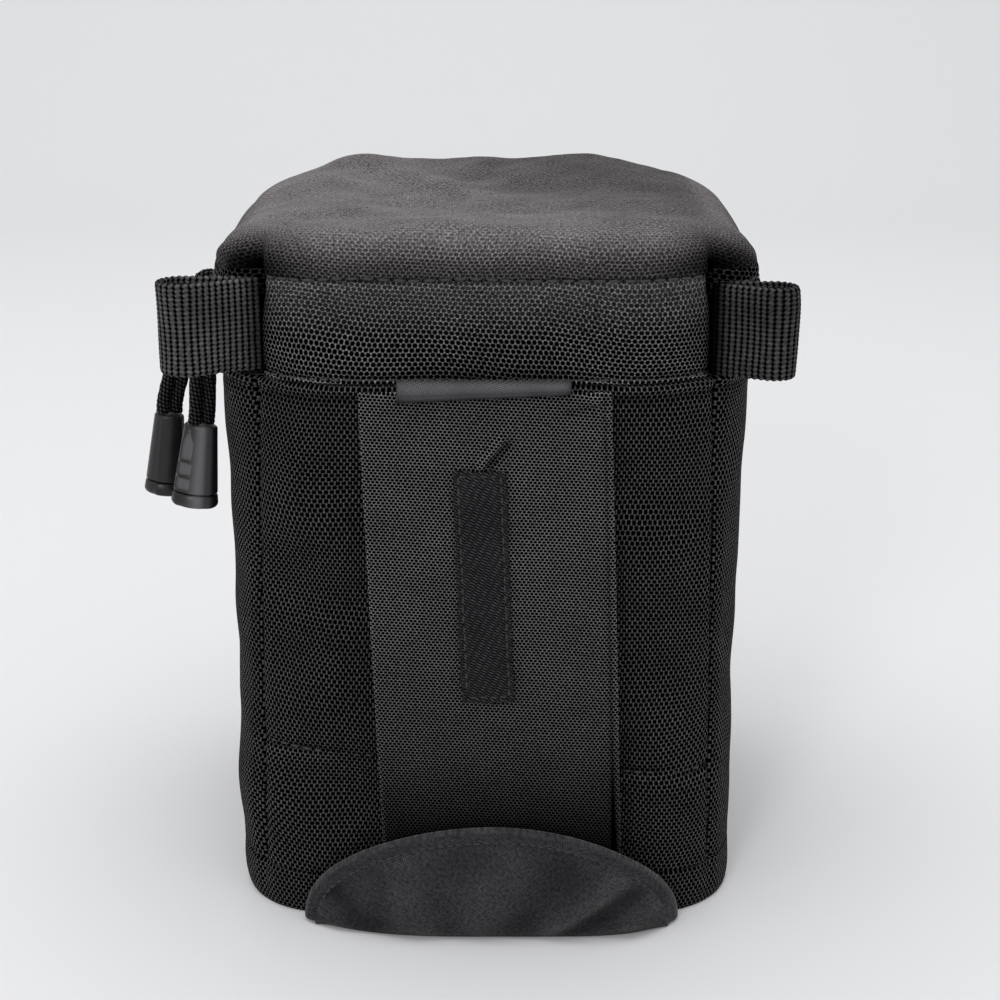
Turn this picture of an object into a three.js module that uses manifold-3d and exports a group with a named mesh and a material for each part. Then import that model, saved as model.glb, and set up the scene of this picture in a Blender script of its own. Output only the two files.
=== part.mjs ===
// Padded pouch for a camera lens: zipped lid, belt strap behind, two webbing loops.
// Millimetres, +Z up. The belt side faces -Y. The origin is the middle of the base.
import * as THREE from "three";
import { mergeVertices } from "three/addons/utils/BufferGeometryUtils.js";
import Module from "manifold-3d";

const wasm = await Module();
wasm.setup();

// Outside of the pouch
const bodyWidth = 112;
const bodyDepth = 108;
const bodyHeight = 122; // up to the seam between the wall panels and the band
const cornerRadius = 28; // of the upright corners, in plan, from the seam up
const baseCornerRadius = 20; // of the same corners at the floor, where the base holds them out
const seamToZip = 11;
const zipToHinge = 11; // the lid folds on a stitch line this far above the zipper
const lidRise = 9.6; // the lid's rim above the stitch line
const lidSag = 3.6; // the middle of the lid below its rim
const lidEdgeDepth = 13; // rounding of the rim, in plan
const lidEdgeHeight = 8;
const baseRoundDepth = 1.4; // rounding where the walls meet the base
const baseRoundHeight = 8;
const bootHeight = 10; // how far the base fabric wraps up the walls
const smallestRadius = 1.5;

// Layers of the walls, from the outside in
const fabricWall = 1.2;
const foamWall = 7;
const liningWall = 0.8;
const basePadThickness = 7;
const layerGap = 0.3; // between layers that are sewn together
const seamGap = 0.3; // between panels that meet at a seam
const padRise = 2.2; // foam of the front and side walls above the seam
const backPadDrop = 1.5; // foam of the back wall below the lid's fold

// Zipper round the left, front and right sides
const tapeThickness = 0.7;
const tapeWidth = 5.4;
const toothRise = 1.6;
const toothPitch = 3;
const toothRoot = 1.9;
const toothNeck = 1.2;
const toothHead = 1.9;
const toothDepth = 2.4;
const tipGap = 1; // between the two rows
const beadHeight = 0.7;
const beadDepth = 1.3;
const zipEndMargin = 1.2; // the zipper stops this short of the rear seams
const bandMargin = 0.6; // from a slider's plate to the fabric edge above and below it

// Sliders, parked at the rear end of the left side
const sliderLength = 11;
const sliderNose = 10;
const sliderTail = 7.8;
const sliderChamfer = 1.8;
const plateThickness = 1.6;
const plateClearance = 0.4; // from the teeth to the plates
const sliderWeb = 0.5;
const sliderWebLength = 4;
const flangeHeight = 1.1;
const flangeDepth = 0.95;
const flangeLength = 5.6;
const rearSliderY = -21;
const sliderSpacing = 12;
const barThickness = 1.6;
const barHeight = 1.8;
const barLegWidth = 1.5;
const barLength = 9;

// Pulls that hang from the sliders
const cordDiameter = 3;
const cordClearance = 0.35; // from the bar to the cord's loop, and from the loop to the plate
const strandSpacing = 3.2;
const cordSides = 8;
const cordSteps = 28;
const joiningDrop = 6; // below the bar, where the two strands have nearly met
const gripLength = 19;
const gripTopRadius = 3.7;
const gripFootRadius = 5.3;
const gripDepthShare = 0.82; // the grip is flatter than it is wide
const gripEdge = 0.6;
const capLength = 3;
const capEdge = 1.1;
const capGap = 0.3;
const recessDepth = 0.5;
const recessWidth = 2.6;
const recessAngle = 0.6; // radians from straight out of the wall towards the belt side
const barrelSides = 20;
const rearPullOut = 1.7; // from the bar to the grip's top, outwards and down
const rearPullDrop = 28.3;
const frontPullOut = 10.9;
const frontPullDrop = 29;

// Webbing loops in the rear corner seams
const webbingWidth = 19;
const webbingThickness = 1.5;
const leftLoopReach = 18.4;
const leftLoopEndRadius = 4.6;
const leftLoopDrop = 2.8; // of the outer end, towards the belt side
const leftLoopFromFold = 1.5; // top edge below the lid's fold
const rightLoopReach = 15.4;
const rightLoopEndRadius = 4;
const rightLoopDrop = 2.4;
const rightLoopFromFold = 2.6;
const loopRootOut = 1.2; // the strips' middle line starts this far outside the seam
const loopRootSpread = 2.1;

// Belt strap
const strapWidth = 51.5;
const strapFootWidth = 46;
const strapTaperLength = 16;
const strapBelowSeam = 1;
const strapTop = bodyHeight - strapBelowSeam;
const strapFoot = 3.2;
const strapLean = 4.2; // sideways, from the top to the foot
const strapTopX = -0.2;
const strapFaceThickness = 0.9;
const strapStiffenerThickness = 0.8;
const strapBackingThickness = 0.6;
const strapMargin = 3; // sewn edge round the stiffener
const strapFootStand = 7.6; // outer face away from the back wall
const hookLow = 9;
const hookHigh = 38;
const hookThickness = 1.2;
const hookMargin = 6;
const loopPatchThickness = 1.2;
const labelWidth = 11;
const labelDrop = 15.6; // from the strap's top
const labelLength = 50;
const labelHigh = strapTop - labelDrop;
const labelLow = labelHigh - labelLength;
const labelThickness = 0.6;
const labelShift = -1.7;
const gripTapeWidth = 35;
const gripTapeHeight = 3.8;
const gripTapeThickness = 1.1;
const gripTapeAboveSeam = 0.1;

// Half-moon end of the strap, folded up at the floor
const flapHalfWidth = 41;
const flapHeight = 26.4;
const flapCentreX = 1;
const flapThickness = 1.8;
const flapFloor = 0.4;
const flapTipGap = 0.5; // from its tips to the back wall
const flapWrap = 7.7; // how far its middle stands in front of its tips
const flapBindingWidth = 3;
const flapBindingProud = 0.3;

const cornerSteps = 8;
const strapCurvePower = 4; // of the curve in which the strap comes off the wall
const flapCurvePower = 8; // of the curve from the half-moon's flat front to its tips
const overrun = 2; // past the surface that a cut goes through
const mergeTolerance = 1e-4;

// Heights that follow from the sizes above
const seamZ = bodyHeight;
const zipZ = seamZ + seamToZip;
const hingeZ = zipZ + zipToHinge;
const rimZ = hingeZ + lidRise;
const halfWidth = bodyWidth / 2;
const halfDepth = bodyDepth / 2;
const foamInset = fabricWall + layerGap;
const liningInset = foamInset + foamWall + layerGap;
const padFloorZ = fabricWall + layerGap + basePadThickness + layerGap;
const bandEdge = sliderNose / 2 + bandMargin;
const toothTip = tipGap / 2;
const toothBase = toothTip + toothRise;
const tapeNear = toothBase + beadHeight + layerGap;
const tapeFar = tapeNear + tapeWidth;
const padTopZ = Math.min(seamZ + padRise, zipZ - tapeFar - layerGap);
const backPadTopZ = hingeZ - backPadDrop;
const tapeMiddle = foamInset + tapeThickness / 2;

const shellNylon = { color: 0x1d1d1f, roughness: 0.9, metalness: 0 };
const topNylon = { color: 0x2c2a2a, roughness: 0.92, metalness: 0 };
const strapNylon = { color: 0x24262a, roughness: 0.82, metalness: 0 };
const webbing = { color: 0x2a2b2b, roughness: 0.85, metalness: 0 };
const foam = { color: 0x3a3a3c, roughness: 1, metalness: 0 };
const liningCloth = { color: 0x55565a, roughness: 0.95, metalness: 0 };
const zipTape = { color: 0x161617, roughness: 0.9, metalness: 0 };
const toothPlastic = { color: 0x0f0f10, roughness: 0.45, metalness: 0 };
const sliderMetal = { color: 0x1b1b1c, roughness: 0.4, metalness: 0.8 };
const cordNylon = { color: 0x101011, roughness: 0.85, metalness: 0 };
const gripPlastic = { color: 0x2f3033, roughness: 0.5, metalness: 0 };
const greyTape = { color: 0x4b4c4e, roughness: 0.7, metalness: 0 };
const labelCloth = { color: 0x151516, roughness: 0.8, metalness: 0 };
const flapCloth = { color: 0x1f2024, roughness: 0.85, metalness: 0 };

// A named mesh with its own material.
function piece(name, geometry, look) {
  const mesh = new THREE.Mesh(geometry, new THREE.MeshStandardMaterial(look));
  mesh.name = name;
  return mesh;
}

// A closed geometry as a manifold solid, whichever way its triangles were wound.
function solid(geometry) {
  const bare = new THREE.BufferGeometry();
  bare.setAttribute("position", geometry.getAttribute("position"));
  bare.setIndex(geometry.index);
  const merged = mergeVertices(bare, mergeTolerance);
  const points = merged.attributes.position.array;
  const triangles = new Uint32Array(merged.index.array);
  const make = () =>
    new wasm.Manifold(
      new wasm.Mesh({ numProp: 3, vertProperties: points, triVerts: triangles }),
    );
  const made = make();
  if (made.volume() >= 0) return made;
  for (let i = 0; i < triangles.length; i += 3) {
    [triangles[i + 1], triangles[i + 2]] = [triangles[i + 2], triangles[i + 1]];
  }
  return make();
}

// A manifold solid as a geometry that three.js can draw.
function drawn(made) {
  const mesh = made.getMesh();
  const stride = mesh.numProp;
  const points = new Float32Array(mesh.numVert * 3);
  for (let i = 0; i < mesh.numVert; i += 1) {
    points.set(mesh.vertProperties.subarray(i * stride, i * stride + 3), i * 3);
  }
  const geometry = new THREE.BufferGeometry();
  geometry.setAttribute("position", new THREE.BufferAttribute(points, 3));
  geometry.setIndex(new THREE.BufferAttribute(new Uint32Array(mesh.triVerts), 1));
  geometry.computeVertexNormals();
  return geometry;
}

// Radius of the upright corners at a height: they are tighter towards the base.
function cornerAt(z) {
  const share = Math.min(1, Math.max(0, z / seamZ));
  return baseCornerRadius + (cornerRadius - baseCornerRadius) * share;
}

// The pouch's plan at a height: a rectangle with round corners, drawn in by an inset.
function planOutline({ z, inset }) {
  const radius = Math.max(cornerAt(z) - inset, smallestRadius);
  const reachX = halfWidth - inset - radius;
  const reachY = halfDepth - inset - radius;
  const points = [];
  for (let corner = 0; corner < 4; corner += 1) {
    const centreX = corner === 0 || corner === 3 ? reachX : -reachX;
    const centreY = corner < 2 ? reachY : -reachY;
    for (let i = 0; i <= cornerSteps; i += 1) {
      const angle = ((corner + i / cornerSteps) * Math.PI) / 2;
      points.push([centreX + radius * Math.cos(angle), centreY + radius * Math.sin(angle)]);
    }
  }
  return points;
}

// A closed stack of plan outlines, each with its own height and inset.
function stack(levels) {
  const rings = levels.map(planOutline);
  const count = rings[0].length;
  const points = rings.flatMap((ring, i) => ring.flatMap(([x, y]) => [x, y, levels[i].z]));
  const triangles = [];
  for (let ring = 0; ring + 1 < rings.length; ring += 1) {
    for (let i = 0; i < count; i += 1) {
      const next = (i + 1) % count;
      const [a, b] = [ring * count + i, ring * count + next];
      triangles.push(a, b, b + count, a, b + count, a + count);
    }
  }
  const top = (rings.length - 1) * count;
  for (let i = 1; i + 1 < count; i += 1) {
    triangles.push(0, i + 1, i, top, top + i, top + i + 1);
  }
  const geometry = new THREE.BufferGeometry();
  geometry.setAttribute("position", new THREE.Float32BufferAttribute(points, 3));
  geometry.setIndex(triangles);
  return geometry;
}

// How far the rounded foot of the walls is drawn in at a height: a quarter of an ellipse.
function footInset(z) {
  const share = Math.max(0, 1 - Math.max(z, 0) / baseRoundHeight);
  return baseRoundDepth * (1 - Math.sqrt(1 - share * share));
}

// Heights from low to high, with those of the given breaks that lie between them.
const withBreaks = (low, high, breaks) => [low, ...breaks.filter((z) => z > low && z < high), high];

// Levels of an upright surface, and of one that follows the rounded foot.
const uprightLevels = (inset, low, high) =>
  withBreaks(low, high, [seamZ]).map((z) => ({ z, inset }));
const footShares = [0, 0.12, 0.4, 1];
function footLevels(inset, low, high) {
  const breaks = [...footShares.map((share) => share * baseRoundHeight), seamZ];
  return withBreaks(low, high, breaks).map((z) => ({ z, inset: inset + footInset(z) }));
}

// A wall between two insets. Its inner face is upright, or follows the foot as its outer one does.
function wall(outerInset, innerInset, low, high, followInside = false) {
  const outer = solid(stack(footLevels(outerInset, low, high)));
  const levels = followInside ? footLevels : uprightLevels;
  return outer.subtract(solid(stack(levels(innerInset, low - overrun, high + overrun))));
}

// The space in front of one wall, out from the middles of its two corners.
const sideTurn = { back: 0, left: -Math.PI / 2, front: Math.PI, right: Math.PI / 2 };
function sector(side, shrink = seamGap / 2) {
  const across = side === "back" || side === "front";
  const half = across ? halfWidth - cornerRadius : halfDepth - cornerRadius;
  const away = across ? halfDepth - cornerRadius : halfWidth - cornerRadius;
  const reach = cornerRadius + overrun;
  const inner = half - shrink * Math.SQRT2;
  const shape = new THREE.Shape([
    new THREE.Vector2(-inner, -away),
    new THREE.Vector2(-inner - reach, -away - reach),
    new THREE.Vector2(inner + reach, -away - reach),
    new THREE.Vector2(inner, -away),
  ]);
  const geometry = new THREE.ExtrudeGeometry(shape, { depth: rimZ, bevelEnabled: false });
  geometry.rotateZ(sideTurn[side]);
  return solid(geometry);
}

// The part of a wall that one panel takes, and the part that runs round the other three sides.
const onSide = (made, side) => made.intersect(sector(side));
const roundTheFront = (made, margin) => made.subtract(sector("back", -margin));

// A closed slab between a back grid of points and a front one.
function slab(rows, columns, pointAt) {
  const points = [];
  for (let side = 0; side < 2; side += 1) {
    for (let i = 0; i <= rows; i += 1) {
      for (let j = 0; j <= columns; j += 1) {
        points.push(...pointAt(i / rows, j / columns, side));
      }
    }
  }
  const at = (i, j, side) => (side * (rows + 1) + i) * (columns + 1) + j;
  const triangles = [];
  const quad = (a, b, c, d) => triangles.push(a, b, c, a, c, d);
  for (let i = 0; i < rows; i += 1) {
    for (let j = 0; j < columns; j += 1) {
      quad(at(i, j, 1), at(i, j + 1, 1), at(i + 1, j + 1, 1), at(i + 1, j, 1));
      quad(at(i, j, 0), at(i + 1, j, 0), at(i + 1, j + 1, 0), at(i, j + 1, 0));
    }
  }
  for (let j = 0; j < columns; j += 1) {
    quad(at(0, j + 1, 1), at(0, j, 1), at(0, j, 0), at(0, j + 1, 0));
    quad(at(rows, j, 1), at(rows, j + 1, 1), at(rows, j + 1, 0), at(rows, j, 0));
  }
  for (let i = 0; i < rows; i += 1) {
    quad(at(i, 0, 1), at(i + 1, 0, 1), at(i + 1, 0, 0), at(i, 0, 0));
    quad(at(i + 1, columns, 1), at(i, columns, 1), at(i, columns, 0), at(i + 1, columns, 0));
  }
  const geometry = new THREE.BufferGeometry();
  geometry.setAttribute("position", new THREE.Float32BufferAttribute(points, 3));
  geometry.setIndex(triangles);
  return solid(geometry);
}

// A box between two corners.
function block(low, high) {
  const size = high.map((value, i) => value - low[i]);
  const geometry = new THREE.BoxGeometry(...size);
  geometry.translate(...high.map((value, i) => (value + low[i]) / 2));
  return geometry;
}

// A flat outline given as points, extruded upwards between two heights.
function prism(outline, low, high) {
  const shape = new THREE.Shape(outline.map(([x, y]) => new THREE.Vector2(x, y)));
  const geometry = new THREE.ExtrudeGeometry(shape, { depth: high - low, bevelEnabled: false });
  geometry.translate(0, 0, low);
  return geometry;
}

// Base, walls, foam and lining
function makeBody() {
  const body = new THREE.Group();
  const boot = solid(stack(footLevels(0, 0, bootHeight))).subtract(
    solid(stack(footLevels(fabricWall, fabricWall, bootHeight + overrun))),
  );
  body.add(piece("base_panel", drawn(boot), shellNylon));
  const basePad = stack(footLevels(foamInset, fabricWall + layerGap, padFloorZ - layerGap));
  body.add(piece("base_pad", drawn(solid(basePad)), foam));

  const skin = wall(0, fabricWall, bootHeight + seamGap, seamZ - seamGap / 2, true);
  const pads = wall(foamInset, foamInset + foamWall, padFloorZ, padTopZ);
  const tallPads = wall(foamInset, foamInset + foamWall, padFloorZ, backPadTopZ);
  for (const side of Object.keys(sideTurn)) {
    body.add(piece(`${side}_panel`, drawn(onSide(skin, side)), shellNylon));
    const layer = side === "back" ? tallPads : pads;
    body.add(piece(`${side}_pad`, drawn(onSide(layer, side)), foam));
  }

  const cup = solid(stack(uprightLevels(liningInset, padFloorZ, backPadTopZ)));
  const hollow = [padFloorZ + liningWall, backPadTopZ + overrun];
  const inside = uprightLevels(liningInset + liningWall, ...hollow);
  const lowered = uprightLevels(foamInset, padTopZ, backPadTopZ + overrun);
  const lining = cup
    .subtract(solid(stack(inside)))
    .subtract(roundTheFront(solid(stack(lowered)), 0));
  body.add(piece("body_lining", drawn(lining), liningCloth));

  const band = wall(0, fabricWall, seamZ + seamGap / 2, hingeZ - seamGap / 2);
  body.add(piece("back_band", drawn(onSide(band, "back")), shellNylon));
  return body;
}

// Middle line of the tooth rows, by distance from its rear left end: arcs and straight runs.
function zipRail() {
  const radius = cornerRadius - tapeMiddle;
  const [x, y] = [halfWidth - cornerRadius, halfDepth - cornerRadius];
  const line = (fromX, fromY, toX, toY) => ({
    length: Math.hypot(toX - fromX, toY - fromY),
    at: (share) => [fromX + (toX - fromX) * share, fromY + (toY - fromY) * share],
    heading: () => Math.atan2(toY - fromY, toX - fromX),
  });
  const arc = (centreX, centreY, fromTurn, toTurn) => ({
    length: radius * (fromTurn - toTurn),
    at: (share) => {
      const angle = fromTurn + (toTurn - fromTurn) * share;
      return [centreX + radius * Math.cos(angle), centreY + radius * Math.sin(angle)];
    },
    heading: (share) => fromTurn + (toTurn - fromTurn) * share - Math.PI / 2,
  });
  const eighth = Math.PI / 4;
  return [
    arc(-x, -y, 5 * eighth, 4 * eighth),
    line(-x - radius, -y, -x - radius, y),
    arc(-x, y, 4 * eighth, 2 * eighth),
    line(-x, y + radius, x, y + radius),
    arc(x, y, 2 * eighth, 0),
    line(x + radius, y, x + radius, -y),
    arc(x, -y, 0, -eighth),
  ];
}

// One tooth with its length of bead. Each corner has a distance along the zipper, a rise above the
// tooth's root and a half depth: wide at the root, narrow at the neck, with a wider head.
const toothNeckShare = 0.42;
const toothTipDepthShare = 0.85;
function toothCell() {
  const [bead, deep] = [beadDepth / 2, toothDepth / 2];
  const right = [
    [toothPitch / 2, -beadHeight, bead],
    [toothPitch / 2, 0, bead],
    [toothRoot / 2, 0, deep],
    [toothNeck / 2, toothRise * toothNeckShare, deep],
    [toothHead / 2, toothRise, deep * toothTipDepthShare],
  ];
  const left = right.map(([along, rise, half]) => [-along, rise, half]).reverse();
  return [...right, ...left];
}

// A point at a distance along the tooth rows' middle line, moved sideways by an offset.
function railPoint(rail, distance, offset) {
  let rest = distance;
  let run = 0;
  while (run + 1 < rail.length && rest > rail[run].length) {
    rest -= rail[run].length;
    run += 1;
  }
  const share = rest / rail[run].length;
  const [x, y] = rail[run].at(share);
  const heading = rail[run].heading(share);
  return [x - Math.sin(heading) * offset, y + Math.cos(heading) * offset];
}

// A row of teeth moulded on the bead at a tape's edge. up is 1 for the lower row, -1 for the upper.
function toothRow(up) {
  const rail = zipRail();
  const total = rail.reduce((sum, run) => sum + run.length, 0);
  const count = Math.floor((total - 2 * zipEndMargin) / toothPitch) - 1;
  const start = (total - (count - 1) * toothPitch) / 2 + (up * toothPitch) / 4;
  const cell = toothCell();
  const corners = cell.length;
  const caps = THREE.ShapeUtils.triangulateShape(
    cell.map(([along, rise]) => new THREE.Vector2(along, rise)),
    [],
  );
  const points = [];
  const triangles = [];
  for (let i = 0; i < count; i += 1) {
    for (const side of [-1, 1]) {
      for (const [along, rise, half] of cell) {
        const distance = start + (i + along / toothPitch) * toothPitch;
        const [x, y] = railPoint(rail, distance, side * half);
        points.push(x, y, zipZ + up * (rise - toothBase));
      }
    }
    const first = i * 2 * corners;
    for (const [a, b, c] of caps) {
      triangles.push(first + a, first + b, first + c);
      triangles.push(first + corners + a, first + corners + c, first + corners + b);
    }
    for (let j = 0; j < corners; j += 1) {
      const next = (j + 1) % corners;
      const inner = (j === 0 && i + 1 < count) || (j === corners - 2 && i > 0);
      if (inner) continue;
      const [a, b] = [first + j, first + next];
      triangles.push(b, a, a + corners, b, a + corners, b + corners);
    }
  }
  const geometry = new THREE.BufferGeometry();
  geometry.setAttribute("position", new THREE.Float32BufferAttribute(points, 3));
  geometry.setIndex(triangles);
  return drawn(solid(geometry));
}

// A strip of zipper tape behind the band's edge.
function zipTapeStrip(low, high) {
  const strip = wall(foamInset, foamInset + tapeThickness, low, high);
  return drawn(roundTheFront(strip, zipEndMargin));
}

function makeZipOnBody() {
  const group = new THREE.Group();
  const band = wall(0, fabricWall, seamZ + seamGap / 2, zipZ - bandEdge);
  group.add(piece("zip_band", drawn(roundTheFront(band, seamGap / 2)), shellNylon));
  group.add(piece("zip_tape_lower", zipTapeStrip(zipZ - tapeFar, zipZ - tapeNear), zipTape));
  group.add(piece("zip_teeth_lower", toothRow(1), toothPlastic));
  return group;
}

// Levels of the lid's outer surface, or of one that lies an offset inside it.
const rimSteps = 4;
const sagShares = [0.3, 0.55, 0.8];
function lidLevels(offset, low) {
  const levels = [{ z: low, inset: offset }];
  for (let i = 0; i <= rimSteps; i += 1) {
    const turn = ((i / rimSteps) * Math.PI) / 2;
    levels.push({
      z: rimZ - offset - lidEdgeHeight * (1 - Math.sin(turn)),
      inset: offset + lidEdgeDepth * (1 - Math.cos(turn)),
    });
  }
  const middle = Math.min(halfWidth, halfDepth) - lidEdgeDepth;
  for (const share of sagShares) {
    levels.push({
      z: rimZ - offset - (lidSag * (1 - Math.cos((share * Math.PI) / sagShares[2]))) / 2,
      inset: offset + lidEdgeDepth + middle * share,
    });
  }
  return levels.filter((level, i) => i === 0 || level.z > low || level.inset > offset);
}

function makeLid() {
  const lid = new THREE.Group();
  const low = hingeZ + seamGap / 2;
  const top = solid(stack(lidLevels(0, low))).subtract(
    solid(stack(lidLevels(fabricWall, low - overrun))),
  );
  lid.add(piece("lid_top", drawn(top), topNylon));

  const liningTop = low + liningWall;
  const lining = solid(stack(uprightLevels(foamInset, low, liningTop)));
  lid.add(piece("lid_lining", drawn(lining), liningCloth));
  const pad = stack(lidLevels(foamInset, liningTop + layerGap));
  lid.add(piece("lid_pad", drawn(solid(pad)), foam));

  const skirt = wall(0, fabricWall, zipZ + bandEdge, hingeZ - seamGap / 2);
  lid.add(piece("lid_skirt", drawn(roundTheFront(skirt, seamGap / 2)), shellNylon));
  const tapeTop = Math.min(zipZ + tapeFar, hingeZ - seamGap / 2);
  lid.add(piece("zip_tape_upper", zipTapeStrip(zipZ + tapeNear, tapeTop), zipTape));
  lid.add(piece("zip_teeth_upper", toothRow(-1), toothPlastic));
  return lid;
}

// Distances outward from the wall's outer face, in a slider's own frame.
const plateInnerFace = -(tapeMiddle - toothDepth / 2) + plateClearance;
const plateOuterFace = plateInnerFace + plateThickness;
const farPlateFace = -(tapeMiddle + toothDepth / 2) - plateClearance;
const loopRadius = Math.hypot(barThickness, barHeight) / 2 + cordClearance + cordDiameter / 2;
const barOut = plateOuterFace + loopRadius + cordDiameter / 2 + cordClearance;

// A slider's plate outline, along the zipper and across it, wider at the nose.
function plateOutline(forward) {
  const [half, nose, tail] = [sliderLength / 2, sliderNose / 2, sliderTail / 2];
  const right = [
    [half, nose - sliderChamfer],
    [half - sliderChamfer, nose],
    [0, nose],
    [-half + sliderChamfer, tail],
    [-half, tail - sliderChamfer],
  ].map(([along, across]) => [along * forward, across]);
  const left = right.map(([along, across]) => [along, -across]).reverse();
  return [...right, ...left];
}

// A slider in its own frame: +X out of the wall, Y along the zipper, whose middle is at zero.
// forward is 1 or -1, the way along Y that its nose points.
function sliderGeometry(forward) {
  const standing = (low, high) => {
    const plate = prism(plateOutline(forward), 0, high - low);
    plate.rotateX(Math.PI / 2);
    plate.rotateZ(Math.PI / 2);
    plate.translate(low, 0, 0);
    return solid(plate);
  };
  const webMiddle = forward * (sliderLength / 2 - sliderChamfer - sliderWebLength / 2);
  const web = block(
    [farPlateFace - plateThickness / 2, webMiddle - sliderWebLength / 2, -sliderWeb / 2],
    [plateInnerFace + plateThickness / 2, webMiddle + sliderWebLength / 2, sliderWeb / 2],
  );
  const flangeTop = -toothBase - beadHeight - plateClearance;
  const flangeHalf = flangeLength / 2;
  const flange = (low, high) =>
    solid(block([low, -flangeHalf, flangeTop - flangeHeight], [high, flangeHalf, flangeTop]));
  const inBar = barOut - barThickness / 2;
  const arch = prism(
    [
      [plateOuterFace - plateThickness / 2, -barLength / 2],
      [inBar, -barLength / 2],
      [inBar + barThickness, -barLength / 2 + barThickness],
      [inBar + barThickness, barLength / 2 - barThickness],
      [inBar, barLength / 2],
      [plateOuterFace - plateThickness / 2, barLength / 2],
    ],
    -barHeight / 2,
    barHeight / 2,
  );
  const eyeHalf = barLength / 2 - barLegWidth;
  const eye = block(
    [plateOuterFace, -eyeHalf, -barHeight - overrun],
    [inBar, eyeHalf, barHeight + overrun],
  );
  const near = standing(plateInnerFace, plateOuterFace);
  const far = standing(farPlateFace - plateThickness / 2, farPlateFace);
  return drawn(
    near
      .add(far)
      .add(solid(web))
      .add(flange(plateInnerFace - flangeDepth, plateInnerFace + plateThickness / 2))
      .add(flange(farPlateFace - plateThickness / 2, farPlateFace + flangeDepth))
      .add(solid(arch).subtract(solid(eye))),
  );
}

// The cord of a pull: up from the grip, round the slider's bar and back, in the pull's XZ plane.
const joiningSpreadShare = 0.75; // of the loop's radius, where the strands have nearly met
const overShares = [0.66, 0.33, 0, -0.33, -0.66]; // of a quarter turn, over the bar
function cordGeometry({ out, drop, gripAngle, hangAngle }) {
  const flat = (x, z) => new THREE.Vector3(x, 0, z);
  const gripTop = flat(out, -drop);
  const gripUp = flat(-Math.sin(gripAngle), Math.cos(gripAngle));
  const hangUp = flat(-Math.sin(hangAngle), Math.cos(hangAngle));
  const strand = (side) => {
    const across = flat(gripUp.z, -gripUp.x).multiplyScalar((side * strandSpacing) / 2);
    const start = gripTop.clone().addScaledVector(gripUp, capGap).add(across);
    const straight = start.clone().addScaledVector(gripUp, cordDiameter);
    const beside = flat(hangUp.z, -hangUp.x).multiplyScalar(side * loopRadius);
    const joining = beside.clone().multiplyScalar(joiningSpreadShare);
    joining.addScaledVector(hangUp, -joiningDrop);
    return [start, straight, joining, beside];
  };
  const over = overShares.map((share) => {
    const angle = hangAngle + (share * Math.PI) / 2;
    return flat(-Math.sin(angle), Math.cos(angle)).multiplyScalar(loopRadius);
  });
  const route = [...strand(-1), ...over, ...strand(1).reverse()];
  const section = new THREE.Shape();
  section.absarc(0, 0, cordDiameter / 2, 0, 2 * Math.PI);
  return drawn(solid(new THREE.ExtrudeGeometry(section, {
    steps: cordSteps,
    curveSegments: cordSides / 2,
    bevelEnabled: false,
    extrudePath: new THREE.CatmullRomCurve3(route, false, "centripetal"),
  })));
}

// Radius of the grip at a distance below its top.
const gripRadius = (below) =>
  gripTopRadius + ((gripFootRadius - gripTopRadius) * below) / gripLength;

// A turned barrel, flattened along Y. The profile is pairs of radius and distance below the top.
function barrel(profile) {
  const points = profile.map(([radius, below]) => new THREE.Vector2(radius, -below));
  const geometry = new THREE.LatheGeometry(points, barrelSides);
  geometry.rotateX(Math.PI / 2);
  geometry.scale(1, gripDepthShare, 1);
  return solid(geometry);
}

// The grip's moulded barrel with the recesses of its snap-in cap, turned towards the belt side.
const recessShares = [[0.08, 0.5], [0.58, 0.74], [0.82, 0.97]]; // of its length, top and bottom
function gripGeometry() {
  const foot = gripLength - capLength - capGap;
  const shell = barrel([
    [0, foot],
    [gripRadius(foot), foot],
    [gripRadius(gripEdge), gripEdge],
    [gripTopRadius - gripEdge, 0],
    [0, 0],
  ]);
  const ovalShare = 1 / Math.hypot(Math.cos(recessAngle), Math.sin(recessAngle) / gripDepthShare);
  return drawn(recessShares.reduce((made, [top, bottom]) => {
    const depthAt = gripRadius(foot * top) * ovalShare - recessDepth;
    const cut = block(
      [depthAt, -recessWidth / 2, -foot * bottom],
      [gripFootRadius + overrun, recessWidth / 2, -foot * top],
    );
    cut.rotateZ(recessAngle);
    return made.subtract(solid(cut));
  }, shell));
}

function capGeometry() {
  const top = gripLength - capLength;
  return drawn(barrel([
    [0, gripLength],
    [gripFootRadius - capEdge, gripLength],
    [gripFootRadius, gripLength - capEdge],
    [gripRadius(top), top],
    [0, top],
  ]));
}

const rearPull = { out: rearPullOut, drop: rearPullDrop, gripAngle: 0.13, hangAngle: 0.04 };
const frontPull = { out: frontPullOut, drop: frontPullDrop, gripAngle: 0.11, hangAngle: 0.6 };

// A slider on the left side with the pull that hangs on its bar.
function makeSlider(name, y, forward, pull) {
  const group = new THREE.Group();
  group.position.set(-halfWidth, y, zipZ);
  group.rotation.z = Math.PI;
  group.add(piece(`zip_slider_${name}`, sliderGeometry(-forward), sliderMetal));
  const hanging = new THREE.Group();
  hanging.position.x = barOut;
  hanging.add(piece(`pull_cord_${name}`, cordGeometry(pull), cordNylon));
  const grip = new THREE.Group();
  grip.position.set(pull.out, 0, -pull.drop);
  grip.rotation.y = -pull.gripAngle;
  grip.add(piece(`pull_grip_${name}`, gripGeometry(), gripPlastic));
  grip.add(piece(`pull_cap_${name}`, capGeometry(), gripPlastic));
  hanging.add(grip);
  group.add(hanging);
  return group;
}

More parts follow.
